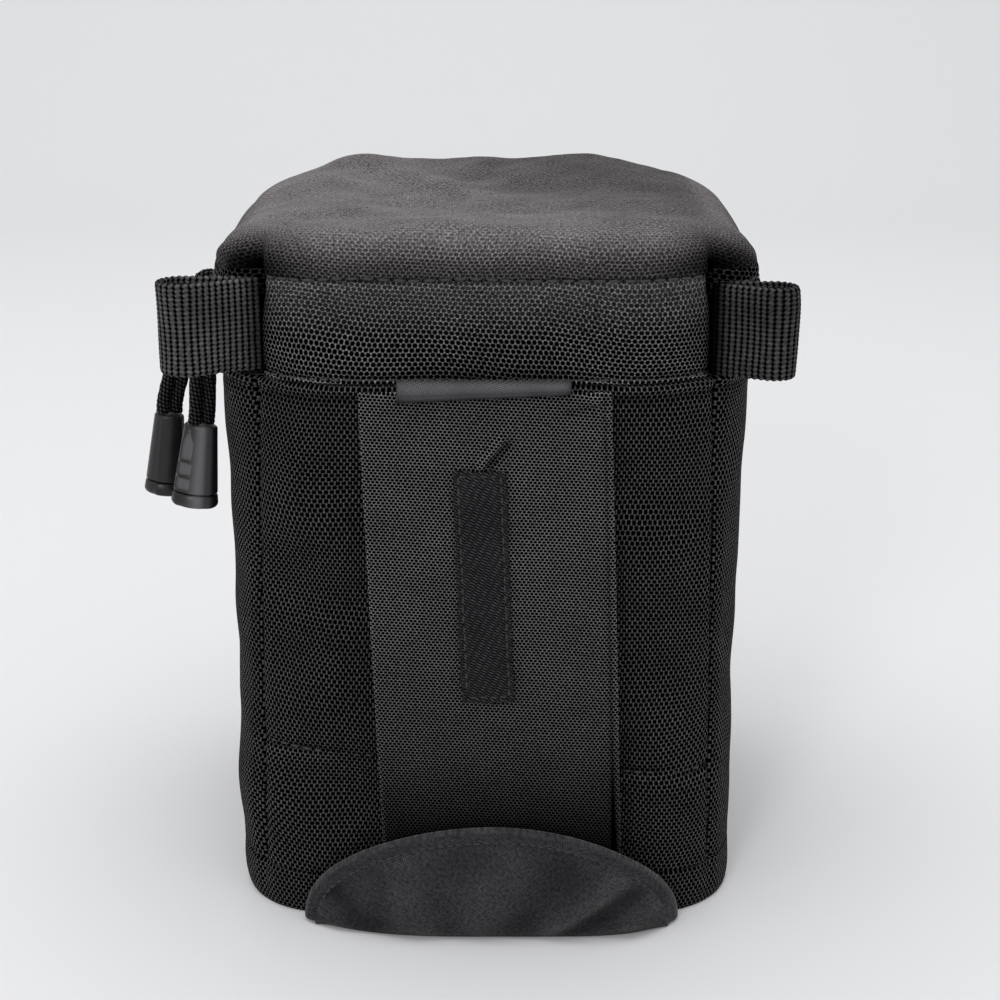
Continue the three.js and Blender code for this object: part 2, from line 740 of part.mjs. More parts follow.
// Plan outline of a strip of webbing: out from the seam, round its end and back to the seam.
// side is -1 on the left and 1 on the right.
const loopEndSteps = 8;
function loopOutline({ reach, endRadius, drop }, side) {
  const out = new THREE.Vector2(side, -1).normalize();
  const along = new THREE.Vector2(-side * out.y, side * out.x);
  const centre = new THREE.Vector2(side * (halfWidth - cornerRadius), cornerRadius - halfDepth);
  const seam = centre.clone().addScaledVector(out, cornerRadius);
  const end = new THREE.Vector2(seam.x + side * (reach - endRadius), seam.y - drop);
  const strip = (way) => {
    const root = seam.clone().addScaledVector(out, loopRootOut);
    root.addScaledVector(along, (way * loopRootSpread) / 2);
    const away = root.clone().sub(end);
    const turn = away.angle() - side * way * Math.acos(endRadius / away.length());
    return { root, turn };
  };
  const [near, far] = [strip(-1), strip(1)];
  const full = 2 * Math.PI;
  const sweep = side * ((((far.turn - near.turn) * side) % full) + full) % full;
  const middle = [{ point: near.root, normal: near.turn }];
  for (let i = 0; i <= loopEndSteps; i += 1) {
    const turn = near.turn + (sweep * i) / loopEndSteps;
    const spoke = new THREE.Vector2(Math.cos(turn), Math.sin(turn));
    middle.push({ point: end.clone().addScaledVector(spoke, endRadius), normal: turn });
  }
  middle.push({ point: far.root, normal: near.turn + sweep });
  const edge = (offset) =>
    middle.map(({ point, normal }) => [
      point.x + Math.cos(normal) * offset,
      point.y + Math.sin(normal) * offset,
    ]);
  return [...edge(webbingThickness / 2), ...edge(-webbingThickness / 2).reverse()];
}

const leftLoop = {
  reach: leftLoopReach,
  endRadius: leftLoopEndRadius,
  drop: leftLoopDrop,
  fromFold: leftLoopFromFold,
};
const rightLoop = {
  reach: rightLoopReach,
  endRadius: rightLoopEndRadius,
  drop: rightLoopDrop,
  fromFold: rightLoopFromFold,
};

function makeLoops() {
  const group = new THREE.Group();
  for (const [name, size, side] of [["left", leftLoop, -1], ["right", rightLoop, 1]]) {
    const top = hingeZ - size.fromFold;
    const strip = prism(loopOutline(size, side), top - webbingWidth, top);
    group.add(piece(`webbing_loop_${name}`, drawn(solid(strip)), webbing));
  }
  return group;
}

// The strap hangs in a curve: close to the wall at its top, further off at its foot.
const strapPocketDepth = strapStiffenerThickness + 2 * layerGap;
const strapBackDepth = strapFaceThickness + strapPocketDepth;
const strapTopStand = strapBackDepth + strapBackingThickness + layerGap;
const strapDown = (z) => Math.max(0, (strapTop - z) / (strapTop - strapFoot));
const strapMiddleX = (z) => strapTopX + strapLean * strapDown(z);
function strapOuterY(z) {
  const share = 1 - (1 - Math.min(1, strapDown(z))) ** strapCurvePower;
  return -(halfDepth + strapTopStand + (strapFootStand - strapTopStand) * share);
}
function strapHalfWidth(z) {
  const share = Math.min(1, (z - strapFoot) / strapTaperLength);
  return (strapFootWidth + (strapWidth - strapFootWidth) * share) / 2;
}

// A layer of the strap between two depths below its outer face, drawn in at its edges.
const strapRows = 12;
function strapLayer(outerDepth, innerDepth, margin = 0, ends = [strapFoot, strapTop]) {
  const [low, high] = [ends[0] + margin, ends[1] - margin];
  return slab(strapRows, 1, (down, across, side) => {
    const z = high - (high - low) * down;
    const x = strapMiddleX(z) + (2 * across - 1) * (strapHalfWidth(z) - margin);
    return [x, strapOuterY(z) + (side ? outerDepth : innerDepth), z];
  });
}

// A small patch on the strap's outer face, of its own width and place.
function strapPatch(width, shift, low, high, thickness) {
  return slab(strapRows, 1, (down, across, side) => {
    const z = high - (high - low) * down;
    const x = strapMiddleX(z) + shift + (across - 0.5) * width;
    return [x, strapOuterY(z) - layerGap - (side ? thickness : 0), z];
  });
}

function makeStrap() {
  const strap = new THREE.Group();
  const pocket = strapLayer(strapFaceThickness, strapBackDepth + overrun, strapMargin);
  const face = strapLayer(0, strapBackDepth - layerGap).subtract(pocket);
  strap.add(piece("strap_face", drawn(face), strapNylon));
  const stiffenerDepth = strapFaceThickness + layerGap;
  const stiffener = strapLayer(
    stiffenerDepth,
    stiffenerDepth + strapStiffenerThickness,
    strapMargin + layerGap,
  );
  strap.add(piece("strap_stiffener", drawn(stiffener), foam));
  const backing = strapLayer(strapBackDepth, strapBackDepth + strapBackingThickness);
  strap.add(piece("strap_backing", drawn(backing), liningCloth));
  const hookDepth = strapBackDepth + strapBackingThickness + layerGap;
  const hookEnds = [hookLow - hookMargin, hookHigh + hookMargin];
  const hook = strapLayer(hookDepth, hookDepth + hookThickness, hookMargin, hookEnds);
  strap.add(piece("hook_patch", drawn(hook), toothPlastic));
  const label = strapPatch(labelWidth, labelShift, labelLow, labelHigh, labelThickness);
  strap.add(piece("label_patch", drawn(label), labelCloth));
  const tapeTop = seamZ + gripTapeAboveSeam;
  const tape = strapPatch(gripTapeWidth, 0, tapeTop - gripTapeHeight, tapeTop, gripTapeThickness);
  strap.add(piece("grip_tape", drawn(tape), greyTape));
  return strap;
}

// The soft half of the fastener, sewn to the back wall behind the strap's foot.
function makeLoopPatch() {
  const patch = slab(strapRows, 1, (down, across, side) => {
    const z = hookHigh - (hookHigh - hookLow) * down;
    const x = strapMiddleX(z) + (2 * across - 1) * (strapHalfWidth(z) - hookMargin);
    const out = halfDepth - footInset(z) + layerGap + (side ? loopPatchThickness : 0);
    return [x, -out, z];
  });
  return piece("loop_patch", drawn(patch), liningCloth);
}

// The half-moon's inner face, further out in the middle than at its tips.
const flapColumns = 20;
const flapStartAngle = 0.08; // radians of the arc left off at each tip
function flapPoint(turn, halfSpan, height, depth) {
  const x = flapCentreX - halfSpan * Math.cos(turn);
  const share = Math.min(1, Math.abs(x - flapCentreX) / flapHalfWidth);
  const y = -(halfDepth + flapTipGap + flapWrap * (1 - share ** flapCurvePower) + depth);
  return [x, y, flapFloor + height];
}

function makeFlap() {
  const flap = new THREE.Group();
  const turnAt = (share) => flapStartAngle + (Math.PI - 2 * flapStartAngle) * share;
  const innerSpan = flapHalfWidth - flapBindingWidth;
  const innerHeight = flapHeight - flapBindingWidth;
  const face = slab(4, flapColumns, (up, across, side) => {
    const turn = turnAt(across);
    const height = innerHeight * Math.sin(turn) * up;
    return flapPoint(turn, innerSpan, height, side ? flapThickness : 0);
  });
  flap.add(piece("end_flap_face", drawn(face), flapCloth));
  const binding = slab(2, flapColumns, (up, across, side) => {
    const turn = turnAt(across);
    const span = innerSpan + layerGap + (flapBindingWidth - layerGap) * up;
    const height = (innerHeight + layerGap + (flapBindingWidth - layerGap) * up) * Math.sin(turn);
    return flapPoint(turn, span, height, side ? flapThickness + flapBindingProud : 0);
  });
  flap.add(piece("end_flap_binding", drawn(binding), flapCloth));
  return flap;
}

const pouch = new THREE.Group();
pouch.add(makeBody(), makeZipOnBody(), makeLoops(), makeLoopPatch());
pouch.add(makeLid());
pouch.add(makeSlider("rear", rearSliderY, 1, rearPull));
pouch.add(makeSlider("front", rearSliderY + sliderSpacing, -1, frontPull));
pouch.add(makeStrap(), makeFlap());

export default pouch;
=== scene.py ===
import bpy
import numpy as np
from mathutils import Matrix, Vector


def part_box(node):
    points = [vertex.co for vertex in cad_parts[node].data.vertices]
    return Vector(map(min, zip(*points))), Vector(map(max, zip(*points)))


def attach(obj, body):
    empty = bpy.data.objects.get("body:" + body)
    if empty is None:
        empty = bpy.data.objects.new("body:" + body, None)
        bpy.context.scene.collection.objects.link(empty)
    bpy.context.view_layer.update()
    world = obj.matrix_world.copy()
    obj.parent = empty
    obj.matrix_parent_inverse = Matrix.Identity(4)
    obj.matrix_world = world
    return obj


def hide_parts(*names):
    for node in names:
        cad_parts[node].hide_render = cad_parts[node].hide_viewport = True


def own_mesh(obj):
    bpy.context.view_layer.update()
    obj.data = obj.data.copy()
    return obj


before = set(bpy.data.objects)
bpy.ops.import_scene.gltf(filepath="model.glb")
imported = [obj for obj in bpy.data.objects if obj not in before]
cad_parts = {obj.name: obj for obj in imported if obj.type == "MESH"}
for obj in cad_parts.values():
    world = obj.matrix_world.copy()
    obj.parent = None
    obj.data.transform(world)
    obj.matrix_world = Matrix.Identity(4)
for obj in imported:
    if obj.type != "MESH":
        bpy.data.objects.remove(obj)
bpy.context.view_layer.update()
mm = 0.001
scene = bpy.context.scene

# Camera at the photograph's place, worked out for a square image.
cameraSettings = {
    "place": (0.0029, -0.4095, 0.2116),
    "pitch": 17.8,  # degrees below level
    "focal": 1.8,  # focal length as a share of the image width
    "sensor": 36.0,
}


# The scene's camera: it looks level towards +Y and is tipped down by the pitch.
def makeCamera():
    data = bpy.data.cameras.new("camera")
    data.sensor_width = cameraSettings["sensor"]
    data.lens = cameraSettings["focal"] * cameraSettings["sensor"]
    data.clip_start, data.clip_end = 0.01, 20
    camera = bpy.data.objects.new("camera", data)
    camera.location = cameraSettings["place"]
    camera.rotation_euler = (np.radians(90 - cameraSettings["pitch"]), 0, 0)
    scene.collection.objects.link(camera)
    scene.camera = camera


makeCamera()
print("camera placed")


# An sRGB hex colour as the linear values that shaders take.
def toLinear(hexColour):
    shares = [int(hexColour[i:i + 2], 16) / 255 for i in (1, 3, 5)]
    bent = [c / 12.92 if c <= 0.04045 else ((c + 0.055) / 1.055) ** 2.4 for c in shares]
    return (*bent, 1.0)


# Adds one node, sets its fields and fills or links its inputs.
def addNode(tree, kind, inputs=None, **fields):
    node = tree.nodes.new(kind)
    for key, value in fields.items():
        setattr(node, key, value)
    for key, value in (inputs or {}).items():
        if isinstance(value, bpy.types.NodeSocket):
            tree.links.new(value, node.inputs[key])
        else:
            node.inputs[key].default_value = value
    return node


# Math nodes from a table of (result, operation, first, second); names stand for earlier results.
def addSteps(tree, known, steps):
    for result, operation, *given in steps:
        inputs = {i: known[g] if isinstance(g, str) else g for i, g in enumerate(given)}
        known[result] = addNode(tree, "ShaderNodeMath", inputs, operation=operation).outputs[0]
    return known


# A fresh material with its shader; look holds values for the shader's own sockets.
def startMaterial(name, look):
    material = bpy.data.materials.new(name)
    material.use_nodes = True
    tree = material.node_tree
    shader = tree.nodes["Principled BSDF"]
    for key, value in look.items():
        shader.inputs[key].default_value = value
    return material, tree, shader


# Plain weave. Threads rise over one crossing and dip under the next, and the crossings alternate
# like the fields of a chessboard (board). With rows, the crosswise threads also stand out as rows,
# and the hollows between the threads become the round cells of a net. With dots, each thread's own
# rounding adds its height, and with columns only that of the upright ones, as in webbing.
weaveSteps = [
    ("u", "MULTIPLY", "x", "perU"), ("v", "MULTIPLY", "y", "perV"),
    ("sinU", "SINE", "u"), ("sinV", "SINE", "v"),
    ("absU", "ABSOLUTE", "sinU"), ("absV", "ABSOLUTE", "sinV"),
    ("board", "MULTIPLY", "sinU", "sinV"),
    ("ridge", "MAXIMUM", "absU", "absV"), ("dotted", "MULTIPLY", "ridge", "dots"),
    ("ribbed", "MULTIPLY", "absU", "columns"), ("squareV", "MULTIPLY", "sinV", "sinV"),
    ("rowed", "MULTIPLY", "squareV", "rows"), ("crossed", "MULTIPLY", "board", "cross"),
    ("raised", "ADD", "dotted", "ribbed"), ("lowered", "ADD", "rowed", "crossed"),
    ("relief", "SUBTRACT", "raised", "lowered"),
]


# A noise field over a place.
def addNoise(tree, place, scale, detail, roughness=0.5, output=0):
    return addNode(tree, "ShaderNodeTexNoise", {
        "Vector": place, "Scale": scale, "Detail": detail, "Roughness": roughness}).outputs[output]


# A value carried over from one span of numbers to another.
def addSpan(tree, value, given, wanted=(0.0, 1.0), **fields):
    return addNode(tree, "ShaderNodeMapRange", {
        "Value": value, "From Min": given[0], "From Max": given[1], "To Min": wanted[0], "To Max": wanted[1]},
        **fields).outputs[0]


# A colour between two others, or past them where it isn't clamped.
def addColour(tree, factor, first, last, clamped=False):
    return addNode(tree, "ShaderNodeMix", {"Factor": factor, 6: first, 7: last},
                   data_type="RGBA", clamp_factor=clamped).outputs[2]


# Gives the shader its colour and a bump that is so many mm high.
def addSurface(tree, shader, colour, height, strength, relief):
    bump = addNode(tree, "ShaderNodeBump", {"Height": height, "Strength": strength, "Distance": relief * mm})
    tree.links.new(colour, shader.inputs["Base Color"])
    tree.links.new(bump.outputs[0], shader.inputs["Normal"])


# Noise fields as (scale, detail, roughness), the spans read from two of them, and the specks of lint.
clothNoise = {
    "wander": (450.0, 2.0), "patches": (90.0, 4.0, 0.6), "patchSpan": (0.3, 0.7),
    "threads": (1400.0, 1.0), "threadSpan": (0.25, 0.75),
    "lintScale": 160.0, "lintSize": 0.045, "lintColour": "#8a8682",
}


# Woven cloth on the piece's own map, which is in metres. pitch is the thread spacing across and up
# in mm, hollow the relief that is fully dark and the one that is fully light.
# One attribute says how far a place's hollows are filled and its relief flattened, by rubbing and, on the lid, as a
# painted sheen; the other says how much lighter or darker a place is painted than the rest, mostly painted shade and
# painted highlights. Hollows neither shine nor have a sheen.
def clothMaterial(name, look, weave):
    material, tree, shader = startMaterial(name, look)
    place = addNode(tree, "ShaderNodeUVMap", uv_map="cloth").outputs[0]
    if weave.get("turn"):
        place = addNode(tree, "ShaderNodeMapping", {
            "Vector": place, "Rotation": (0, 0, np.radians(weave["turn"]))}).outputs[0]
    moved = addNoise(tree, place, *clothNoise["wander"], output="Color")
    for operation, inputs in (("SUBTRACT", {1: (0.5, 0.5, 0.5)}), ("SCALE", {"Scale": weave["wander"] * mm}),
                              ("ADD", {1: place})):
        moved = addNode(tree, "ShaderNodeVectorMath", {0: moved, **inputs}, operation=operation).outputs[0]
    axes = addNode(tree, "ShaderNodeSeparateXYZ", {0: moved})
    known = {"x": axes.outputs[0], "y": axes.outputs[1]}
    values = {"perU": np.pi / (weave["pitch"][0] * mm), "perV": np.pi / (weave["pitch"][1] * mm),
              "dots": weave.get("dots", 0), "rows": weave.get("rows", 1),
              "columns": weave.get("columns", 0), "cross": weave.get("cross", 1)}
    for key, value in values.items():
        known[key] = addNode(tree, "ShaderNodeValue").outputs[0]
        known[key].default_value = value
    addSteps(tree, known, weaveSteps)

    known["tone"] = addSpan(tree, known["relief"], weave["hollow"], interpolation_type="SMOOTHSTEP")
    for key, field, span, vary in (("worn", "patches", "patchSpan", weave["patchy"]),
                                   ("uneven", "threads", "threadSpan", weave["uneven"])):
        noise = addNoise(tree, place, *clothNoise[field])
        known[key] = addSpan(tree, noise, clothNoise[span], (1 - vary, 1 + vary))
    for key in ("rub", "wear"):
        known[key] = addNode(tree, "ShaderNodeAttribute", attribute_name=key).outputs["Fac"]
    addSteps(tree, known, [
        ("hidden", "SUBTRACT", 1.0, "tone"), ("filled", "MULTIPLY", "hidden", "rub"),
        ("smooth", "ADD", "tone", "filled"), ("a", "MULTIPLY", "smooth", "worn"),
        ("b", "MULTIPLY", "a", "uneven"), ("lighter", "ADD", "wear", 1.0), ("mix", "MULTIPLY", "b", "lighter"),
        ("flat", "MULTIPLY", "rub", 0.8), ("deep", "SUBTRACT", 1.0, "flat"),
        ("shine", "MULTIPLY", "mix", look["Specular IOR Level"]), ("nap", "MULTIPLY", "mix", look["Sheen Weight"]),
    ])
    tree.links.new(known["shine"], shader.inputs["Specular IOR Level"])
    tree.links.new(known["nap"], shader.inputs["Sheen Weight"])
    # Thread tops are painted paler than the hollows: partly the cloth's own colour, partly a painted highlight for
    # the shine that light gives the fibres.
    colour = addColour(tree, known["mix"], toLinear(weave["hollowColour"]), toLinear(weave["threadColour"]))
    if weave.get("lint"):
        # Sparse pale specks of lint, each a fraction of a millimetre.
        cells = addNode(tree, "ShaderNodeTexVoronoi", {"Vector": place, "Scale": clothNoise["lintScale"]})
        known["near"] = addSpan(tree, cells.outputs["Distance"], (0.0, clothNoise["lintSize"]), (1.0, 0.0))
        known["chance"] = addNode(tree, "ShaderNodeSeparateXYZ", {0: cells.outputs["Color"]}).outputs[0]
        addSteps(tree, known, [("rare", "GREATER_THAN", "chance", 1 - weave["lint"]),
                               ("speck", "MULTIPLY", "near", "rare")])
        colour = addColour(tree, known["speck"], colour, toLinear(clothNoise["lintColour"]), clamped=True)
    addSurface(tree, shader, colour, known["relief"], known["deep"], weave["relief"])
    return material


# Woven nylon, dyed black and lightly brushed by use: matt threads round dark hollows, faint sheen.
clothLook = {"Roughness": 0.8, "Specular IOR Level": 0.25, "Sheen Weight": 0.12, "Sheen Roughness": 0.4,
             "Sheen Tint": toLinear("#c8c2bf")}
shellWeave = {"pitch": (0.575, 0.93), "threadColour": "#464545", "hollowColour": "#010101", "relief": 0.16,
              "dots": 0.5, "hollow": (-0.1, 0.7), "wander": 0.25, "patchy": 0.16, "uneven": 0.5, "lint": 0.01,
              "turn": 2.5}
shellNylon = clothMaterial("coarse_woven_nylon", clothLook, shellWeave)
# The same cloth stretched over the band, where the threads between the hollows show as a net. Its threads are painted
# paler, a painted highlight for the top light they catch.
bandNylon = clothMaterial("stretched_nylon_painted_light", clothLook, {
    **shellWeave, "threadColour": "#605f5f", "dots": 0.1, "hollow": (-0.22, 0.25), "wander": 0.24, "uneven": 0.75,
    "turn": 3.4})
# The same cloth over the lid, with paler threads and more sheen: the paler threads are a painted sheen for the light
# the top catches.
lidNylon = clothMaterial("rubbed_woven_nylon", {**clothLook, "Sheen Weight": 0.35, "Sheen Roughness": 0.3}, {
    **shellWeave, "threadColour": "#656162", "dots": 0.1, "hollow": (-0.28, 0.25), "wander": 0.22, "uneven": 0.65,
    "lint": 0.03, "turn": 3.4})
# Finer nylon of the belt strap, charcoal with a blue cast.
strapNylon = clothMaterial("fine_woven_nylon", clothLook, {
    "pitch": (0.44, 0.62), "threadColour": "#5f5f60", "hollowColour": "#020202", "relief": 0.12,
    "hollow": (-0.38, 0.25), "wander": 0.08, "patchy": 0.15, "uneven": 0.4, "turn": 3.5})
# Thin soft cloth of the half-moon, with hardly a thread to see.
flapCloth = clothMaterial("soft_thin_cloth", {**clothLook, "Sheen Weight": 0.2}, {
    "pitch": (0.3, 0.32), "threadColour": "#323235", "hollowColour": "#0d0d0e", "relief": 0.08,
    "hollow": (-1.2, 0.2), "wander": 0.09, "patchy": 0.22, "uneven": 0.5, "turn": 20, "lint": 0.01})
# Nylon webbing: thick ribs across, painted lighter on the tops of the ribs, partly a painted highlight.
webbingNylon = clothMaterial("ribbed_webbing", clothLook, {
    "pitch": (1.35, 0.93), "threadColour": "#494949", "hollowColour": "#020202", "relief": 0.1,
    "columns": 1.0, "rows": 0.55, "cross": 0, "hollow": (-0.1, 0.85), "wander": 0.12, "patchy": 0.25, "uneven": 0.45})
# Smooth grey binding tape.
greyTape = clothMaterial("grey_binding_tape", {**clothLook, "Roughness": 0.5, "Specular IOR Level": 0.6}, {
    "pitch": (0.25, 0.25), "threadColour": "#3f3f41", "hollowColour": "#2f2f31", "relief": 0.03,
    "hollow": (-1.4, 0.2), "wander": 0.05, "patchy": 0.1, "uneven": 0.15, "turn": 30})
# Satin label tape, black, in fine slanting lines.
labelSatin = clothMaterial("label_satin", {**clothLook, "Roughness": 0.6}, {
    "pitch": (1.5, 0.3), "threadColour": "#2c2c2e", "hollowColour": "#0b0b0c", "relief": 0.06,
    "dots": 1.0, "rows": 0, "hollow": (0.1, 1.7), "wander": 0.08, "patchy": 0.2, "uneven": 0.5, "turn": 26})
# Brushed lining cloth, light grey and matt.
liningCloth = clothMaterial("brushed_lining", {**clothLook, "Sheen Weight": 0.4}, {
    "pitch": (0.4, 0.4), "threadColour": "#66676c", "hollowColour": "#4c4d53", "relief": 0.04,
    "hollow": (-1.4, 0.2), "wander": 0.2, "patchy": 0.1, "uneven": 0.2})
# Woven zipper tape, black.
zipTapeCloth = clothMaterial("zipper_tape", clothLook, {
    "pitch": (0.5, 0.35), "threadColour": "#232324", "hollowColour": "#080809", "relief": 0.08,
    "dots": 0.6, "rows": 0, "hollow": (0.0, 1.2), "wander": 0.06, "patchy": 0.1, "uneven": 0.2})
# Braided polyester cord, black: its strands cross at a slant, with a soft shine.
cordBraid = clothMaterial("braided_cord", {**clothLook, "Roughness": 0.6, "Specular IOR Level": 0.4}, {
    "pitch": (0.55, 0.8), "threadColour": "#262626", "hollowColour": "#050505", "relief": 0.14,
    "dots": 0.7, "rows": 0, "hollow": (0.1, 1.3), "wander": 0.06, "patchy": 0.15, "uneven": 0.35, "turn": 45})


# Plastic or metal with a fine grain read from object coordinates. An attribute makes it paler, by so many times the
# step between its two colours; on the grips it carries painted highlights and painted shade.
def grainMaterial(name, look, grain):
    material, tree, shader = startMaterial(name, look)
    place = addNode(tree, "ShaderNodeTexCoord").outputs["Object"]
    fine = addNoise(tree, place, 1 / (grain["size"] * mm), 3.0)
    broad = addNoise(tree, place, 1 / (grain["patch"] * mm), 2.0)
    wear = addNode(tree, "ShaderNodeAttribute", attribute_name="wear").outputs["Fac"]
    paler = addNode(tree, "ShaderNodeMath", {0: broad, 1: wear}, operation="ADD").outputs[0]
    tree.links.new(addSpan(tree, broad, (0.3, 0.7), grain["rough"]), shader.inputs["Roughness"])
    colour = addColour(tree, paler, *map(toLinear, grain["colours"]))
    addSurface(tree, shader, colour, fine, 1.0, grain["relief"])
    return material


# Injection-moulded acetal, dark grey with a spark-eroded grain that spreads its shine.
pullPlastic = grainMaterial("moulded_acetal", {"Specular IOR Level": 0.3, "IOR": 1.48}, {
    "size": 0.35, "patch": 6, "colours": ("#1c1c1d", "#2a2a2b"), "rough": (0.27, 0.34), "relief": 0.05})
# Moulded zipper teeth, black and a little glossy.
toothPlastic = grainMaterial("zipper_acetal", {"Specular IOR Level": 0.5, "IOR": 1.48}, {
    "size": 0.3, "patch": 4, "colours": ("#0e0e0f", "#171718"), "rough": (0.3, 0.42), "relief": 0.01})
# Die-cast zinc with black enamel, rubbed at places.
enamelZinc = grainMaterial("enamelled_zinc", {"Metallic": 0.35, "Coat Weight": 0.3, "Coat Roughness": 0.2}, {
    "size": 0.35, "patch": 3, "colours": ("#111112", "#1d1d1e"), "rough": (0.3, 0.45), "relief": 0.008})
# Spun polyester sewing thread, black.
sewingThread = grainMaterial("sewing_thread", {"Specular IOR Level": 0.35, "Sheen Weight": 0.15}, {
    "size": 0.25, "patch": 3, "colours": ("#222222", "#363636"), "rough": (0.55, 0.7), "relief": 0.02})
# Closed-cell foam, grey.
foamGrey = grainMaterial("closed_cell_foam", {"Specular IOR Level": 0.3}, {
    "size": 0.5, "patch": 5, "colours": ("#3a3a3c", "#444446"), "rough": (0.85, 0.95), "relief": 0.04})
# Napped loop pile of the fastener, black.
loopPile = grainMaterial("loop_pile", {"Specular IOR Level": 0.2, "Sheen Weight": 0.15}, {
    "size": 0.35, "patch": 4, "colours": ("#131314", "#1d1d1e"), "rough": (0.85, 0.95), "relief": 0.12})
print("materials made")


# Points joined from their parts; a part may be one number that holds for all of them.
def joined(*parts):
    return np.stack(np.broadcast_arrays(*parts), -1)


# Two grids, one of the rows' values and one of the columns'.
def spread(rows, columns):
    return np.meshgrid(rows, columns, indexing="ij")


# Vectors brought to length 1.
def unit(ways):
    return ways / np.linalg.norm(ways, axis=-1, keepdims=True)


# Distance along a line of points from its start to each of them.
def gone(line):
    return np.concatenate([[0], np.cumsum(np.linalg.norm(np.diff(line, axis=0), axis=1))])


# Quads of a grid of rows and columns, with the last column joined to the first where it wraps.
def gridFaces(rows, columns, wrap=False, start=0):
    i, j = spread(np.arange(rows - 1), np.arange(columns if wrap else columns - 1))
    k = (j + 1) % columns
    quads = joined(i * columns + j, i * columns + k, (i + 1) * columns + k, (i + 1) * columns + j)
    return quads.reshape(-1, 4) + start


# Quads that close a ring of an even number of points, in strips across it.
def capFaces(count, start):
    i = np.arange(count // 2 - 1)
    return joined(i, i + 1, count - 2 - i, count - 1 - i) + start


# A mesh object from points in mm, with faces turned to point outwards and a cloth map in metres.
# period is the map's length round a closed piece, so that its last faces don't run backwards.
def makePiece(name, points, faces, material, cloth=None, period=None, marks=None):
    a, b, c, d = (points[faces[:, i]] for i in range(4))
    volume = (np.cross(a, b) * c).sum() + (np.cross(a, c) * d).sum()
    if volume < 0:
        faces = faces[:, ::-1]
    mesh = bpy.data.meshes.new(name)
    mesh.from_pydata((points * mm).tolist(), [], faces.tolist())
    mesh.polygons.foreach_set("use_smooth", np.ones(len(faces), bool))
    if cloth is not None:
        corners = cloth[faces].copy()
        if period:
            high = corners[:, :, 0].max(1, keepdims=True)
            corners[:, :, 0] += np.where(high - corners[:, :, 0] > period / 2, period, 0)
        layer = mesh.uv_layers.new(name="cloth")
        layer.data.foreach_set("uv", (corners * mm).ravel())
    for key, grid in (marks or {}).items():
        mesh.attributes.new(key, "FLOAT", "POINT").data.foreach_set("value", grid.ravel())
    mesh.materials.append(material)
    piece = bpy.data.objects.new(name, mesh)
    scene.collection.objects.link(piece)
    return piece


# A closed sheet between an outer and an inner grid of points, each rows x columns x 3.
# A capped sheet's last row is a ring closed across, and marks are grids of the cloth's attributes.
def makeSheet(name, outer, inner, cloth, material, wrap=False, period=None, capped=False, **marks):
    rows, columns = outer.shape[:2]
    count = rows * columns
    top = np.arange(columns if wrap else columns - 1)
    nxt = (top + 1) % columns
    last = (rows - 1) * columns
    faces = [gridFaces(rows, columns, wrap), gridFaces(rows, columns, wrap, count)[:, ::-1],
             joined(nxt, top, top + count, nxt + count)]
    if capped:
        faces += [capFaces(columns, last), capFaces(columns, last + count)[:, ::-1]]
    else:
        faces.append(joined(top, nxt, nxt + count, top + count) + last)
    if not wrap:
        side = np.arange(rows - 1) * columns
        far = side + columns - 1
        faces.append(joined(side, side + columns, side + columns + count, side + count))
        faces.append(joined(far + columns, far, far + count, far + columns + count))
    points = np.concatenate([outer.reshape(-1, 3), inner.reshape(-1, 3)])
    both = np.concatenate([cloth.reshape(-1, 2)] * 2)
    doubled = {key: np.concatenate([grid.ravel()] * 2) for key, grid in marks.items()}
    return makePiece(name, points, np.concatenate(faces), material, both, period, doubled)


# A closed tube through rings of points, rows x columns x 3, with flat ends.
def makeTube(name, rings, material, cloth=None, period=None, marks=None):
    rows, columns = rings.shape[:2]
    faces = np.concatenate([gridFaces(rows, columns, True), capFaces(columns, 0)[:, ::-1],
                            capFaces(columns, (rows - 1) * columns)])
    flat = None if cloth is None else cloth.reshape(-1, 2)
    return makePiece(name, rings.reshape(-1, 3), faces, material, flat, period, marks)


# Hands a finished piece to its body and hides the nodes it stands for; its slot is not used.
def settle(piece, body, slot, *nodes):
    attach(piece, body)
    if nodes:
        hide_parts(*nodes)
    return piece


# Positions from low to high, closer together near both ends.
def spaced(low, high, step, edge=1.2):
    near = edge * np.array([0.0, 0.08, 0.2, 0.4, 0.7, 1.0])
    middle = np.linspace(low + edge, high - edge, max(2, int((high - low - 2 * edge) / step)) + 1)
    return np.concatenate([low + near[:-1], middle, high - near[-2::-1]])


# Sum of plane waves in random directions: a smooth field of about -1 to 1 with the given wavelength.
def ripple(points, size, seed, waves=9):
    random = np.random.default_rng(seed)
    ways = unit(random.normal(size=(waves, 3)))
    turns = ways * (2 * np.pi / (size * random.uniform(0.7, 1.5, (waves, 1))))
    return np.cos(points @ turns.T + random.uniform(0, 2 * np.pi, waves)).sum(-1) / np.sqrt(waves) * 0.8


# A hump of height 1 at zero with the given half width.
def hump(distance, width):
    return np.exp(-(distance / width) ** 2)


# Sum of humps; each is (place, half width, height).
def humps(value, *each):
    return sum(height * hump(value - place, width) for place, width, height in each)


# From 0 at low to 1 at high, level at both.
def ease(value, low, high):
    share = np.clip((value - low) / (high - low), 0, 1)
    return share * share * (3 - 2 * share)


# Distance from points to a straight line between two places.
def lineDistance(x, y, start, end):
    way = np.subtract(end, start)
    share = np.clip(((x - start[0]) * way[0] + (y - start[1]) * way[1]) / (way @ way), 0, 1)
    return np.hypot(x - start[0] - share * way[0], y - start[1] - share * way[1])


# Sum of ridges, or creases where the height is negative; each is (start, end, half width, height).
def ridges(x, y, each):
    return sum(height * hump(lineDistance(x, y, start, end), width) for start, end, width, height in each)


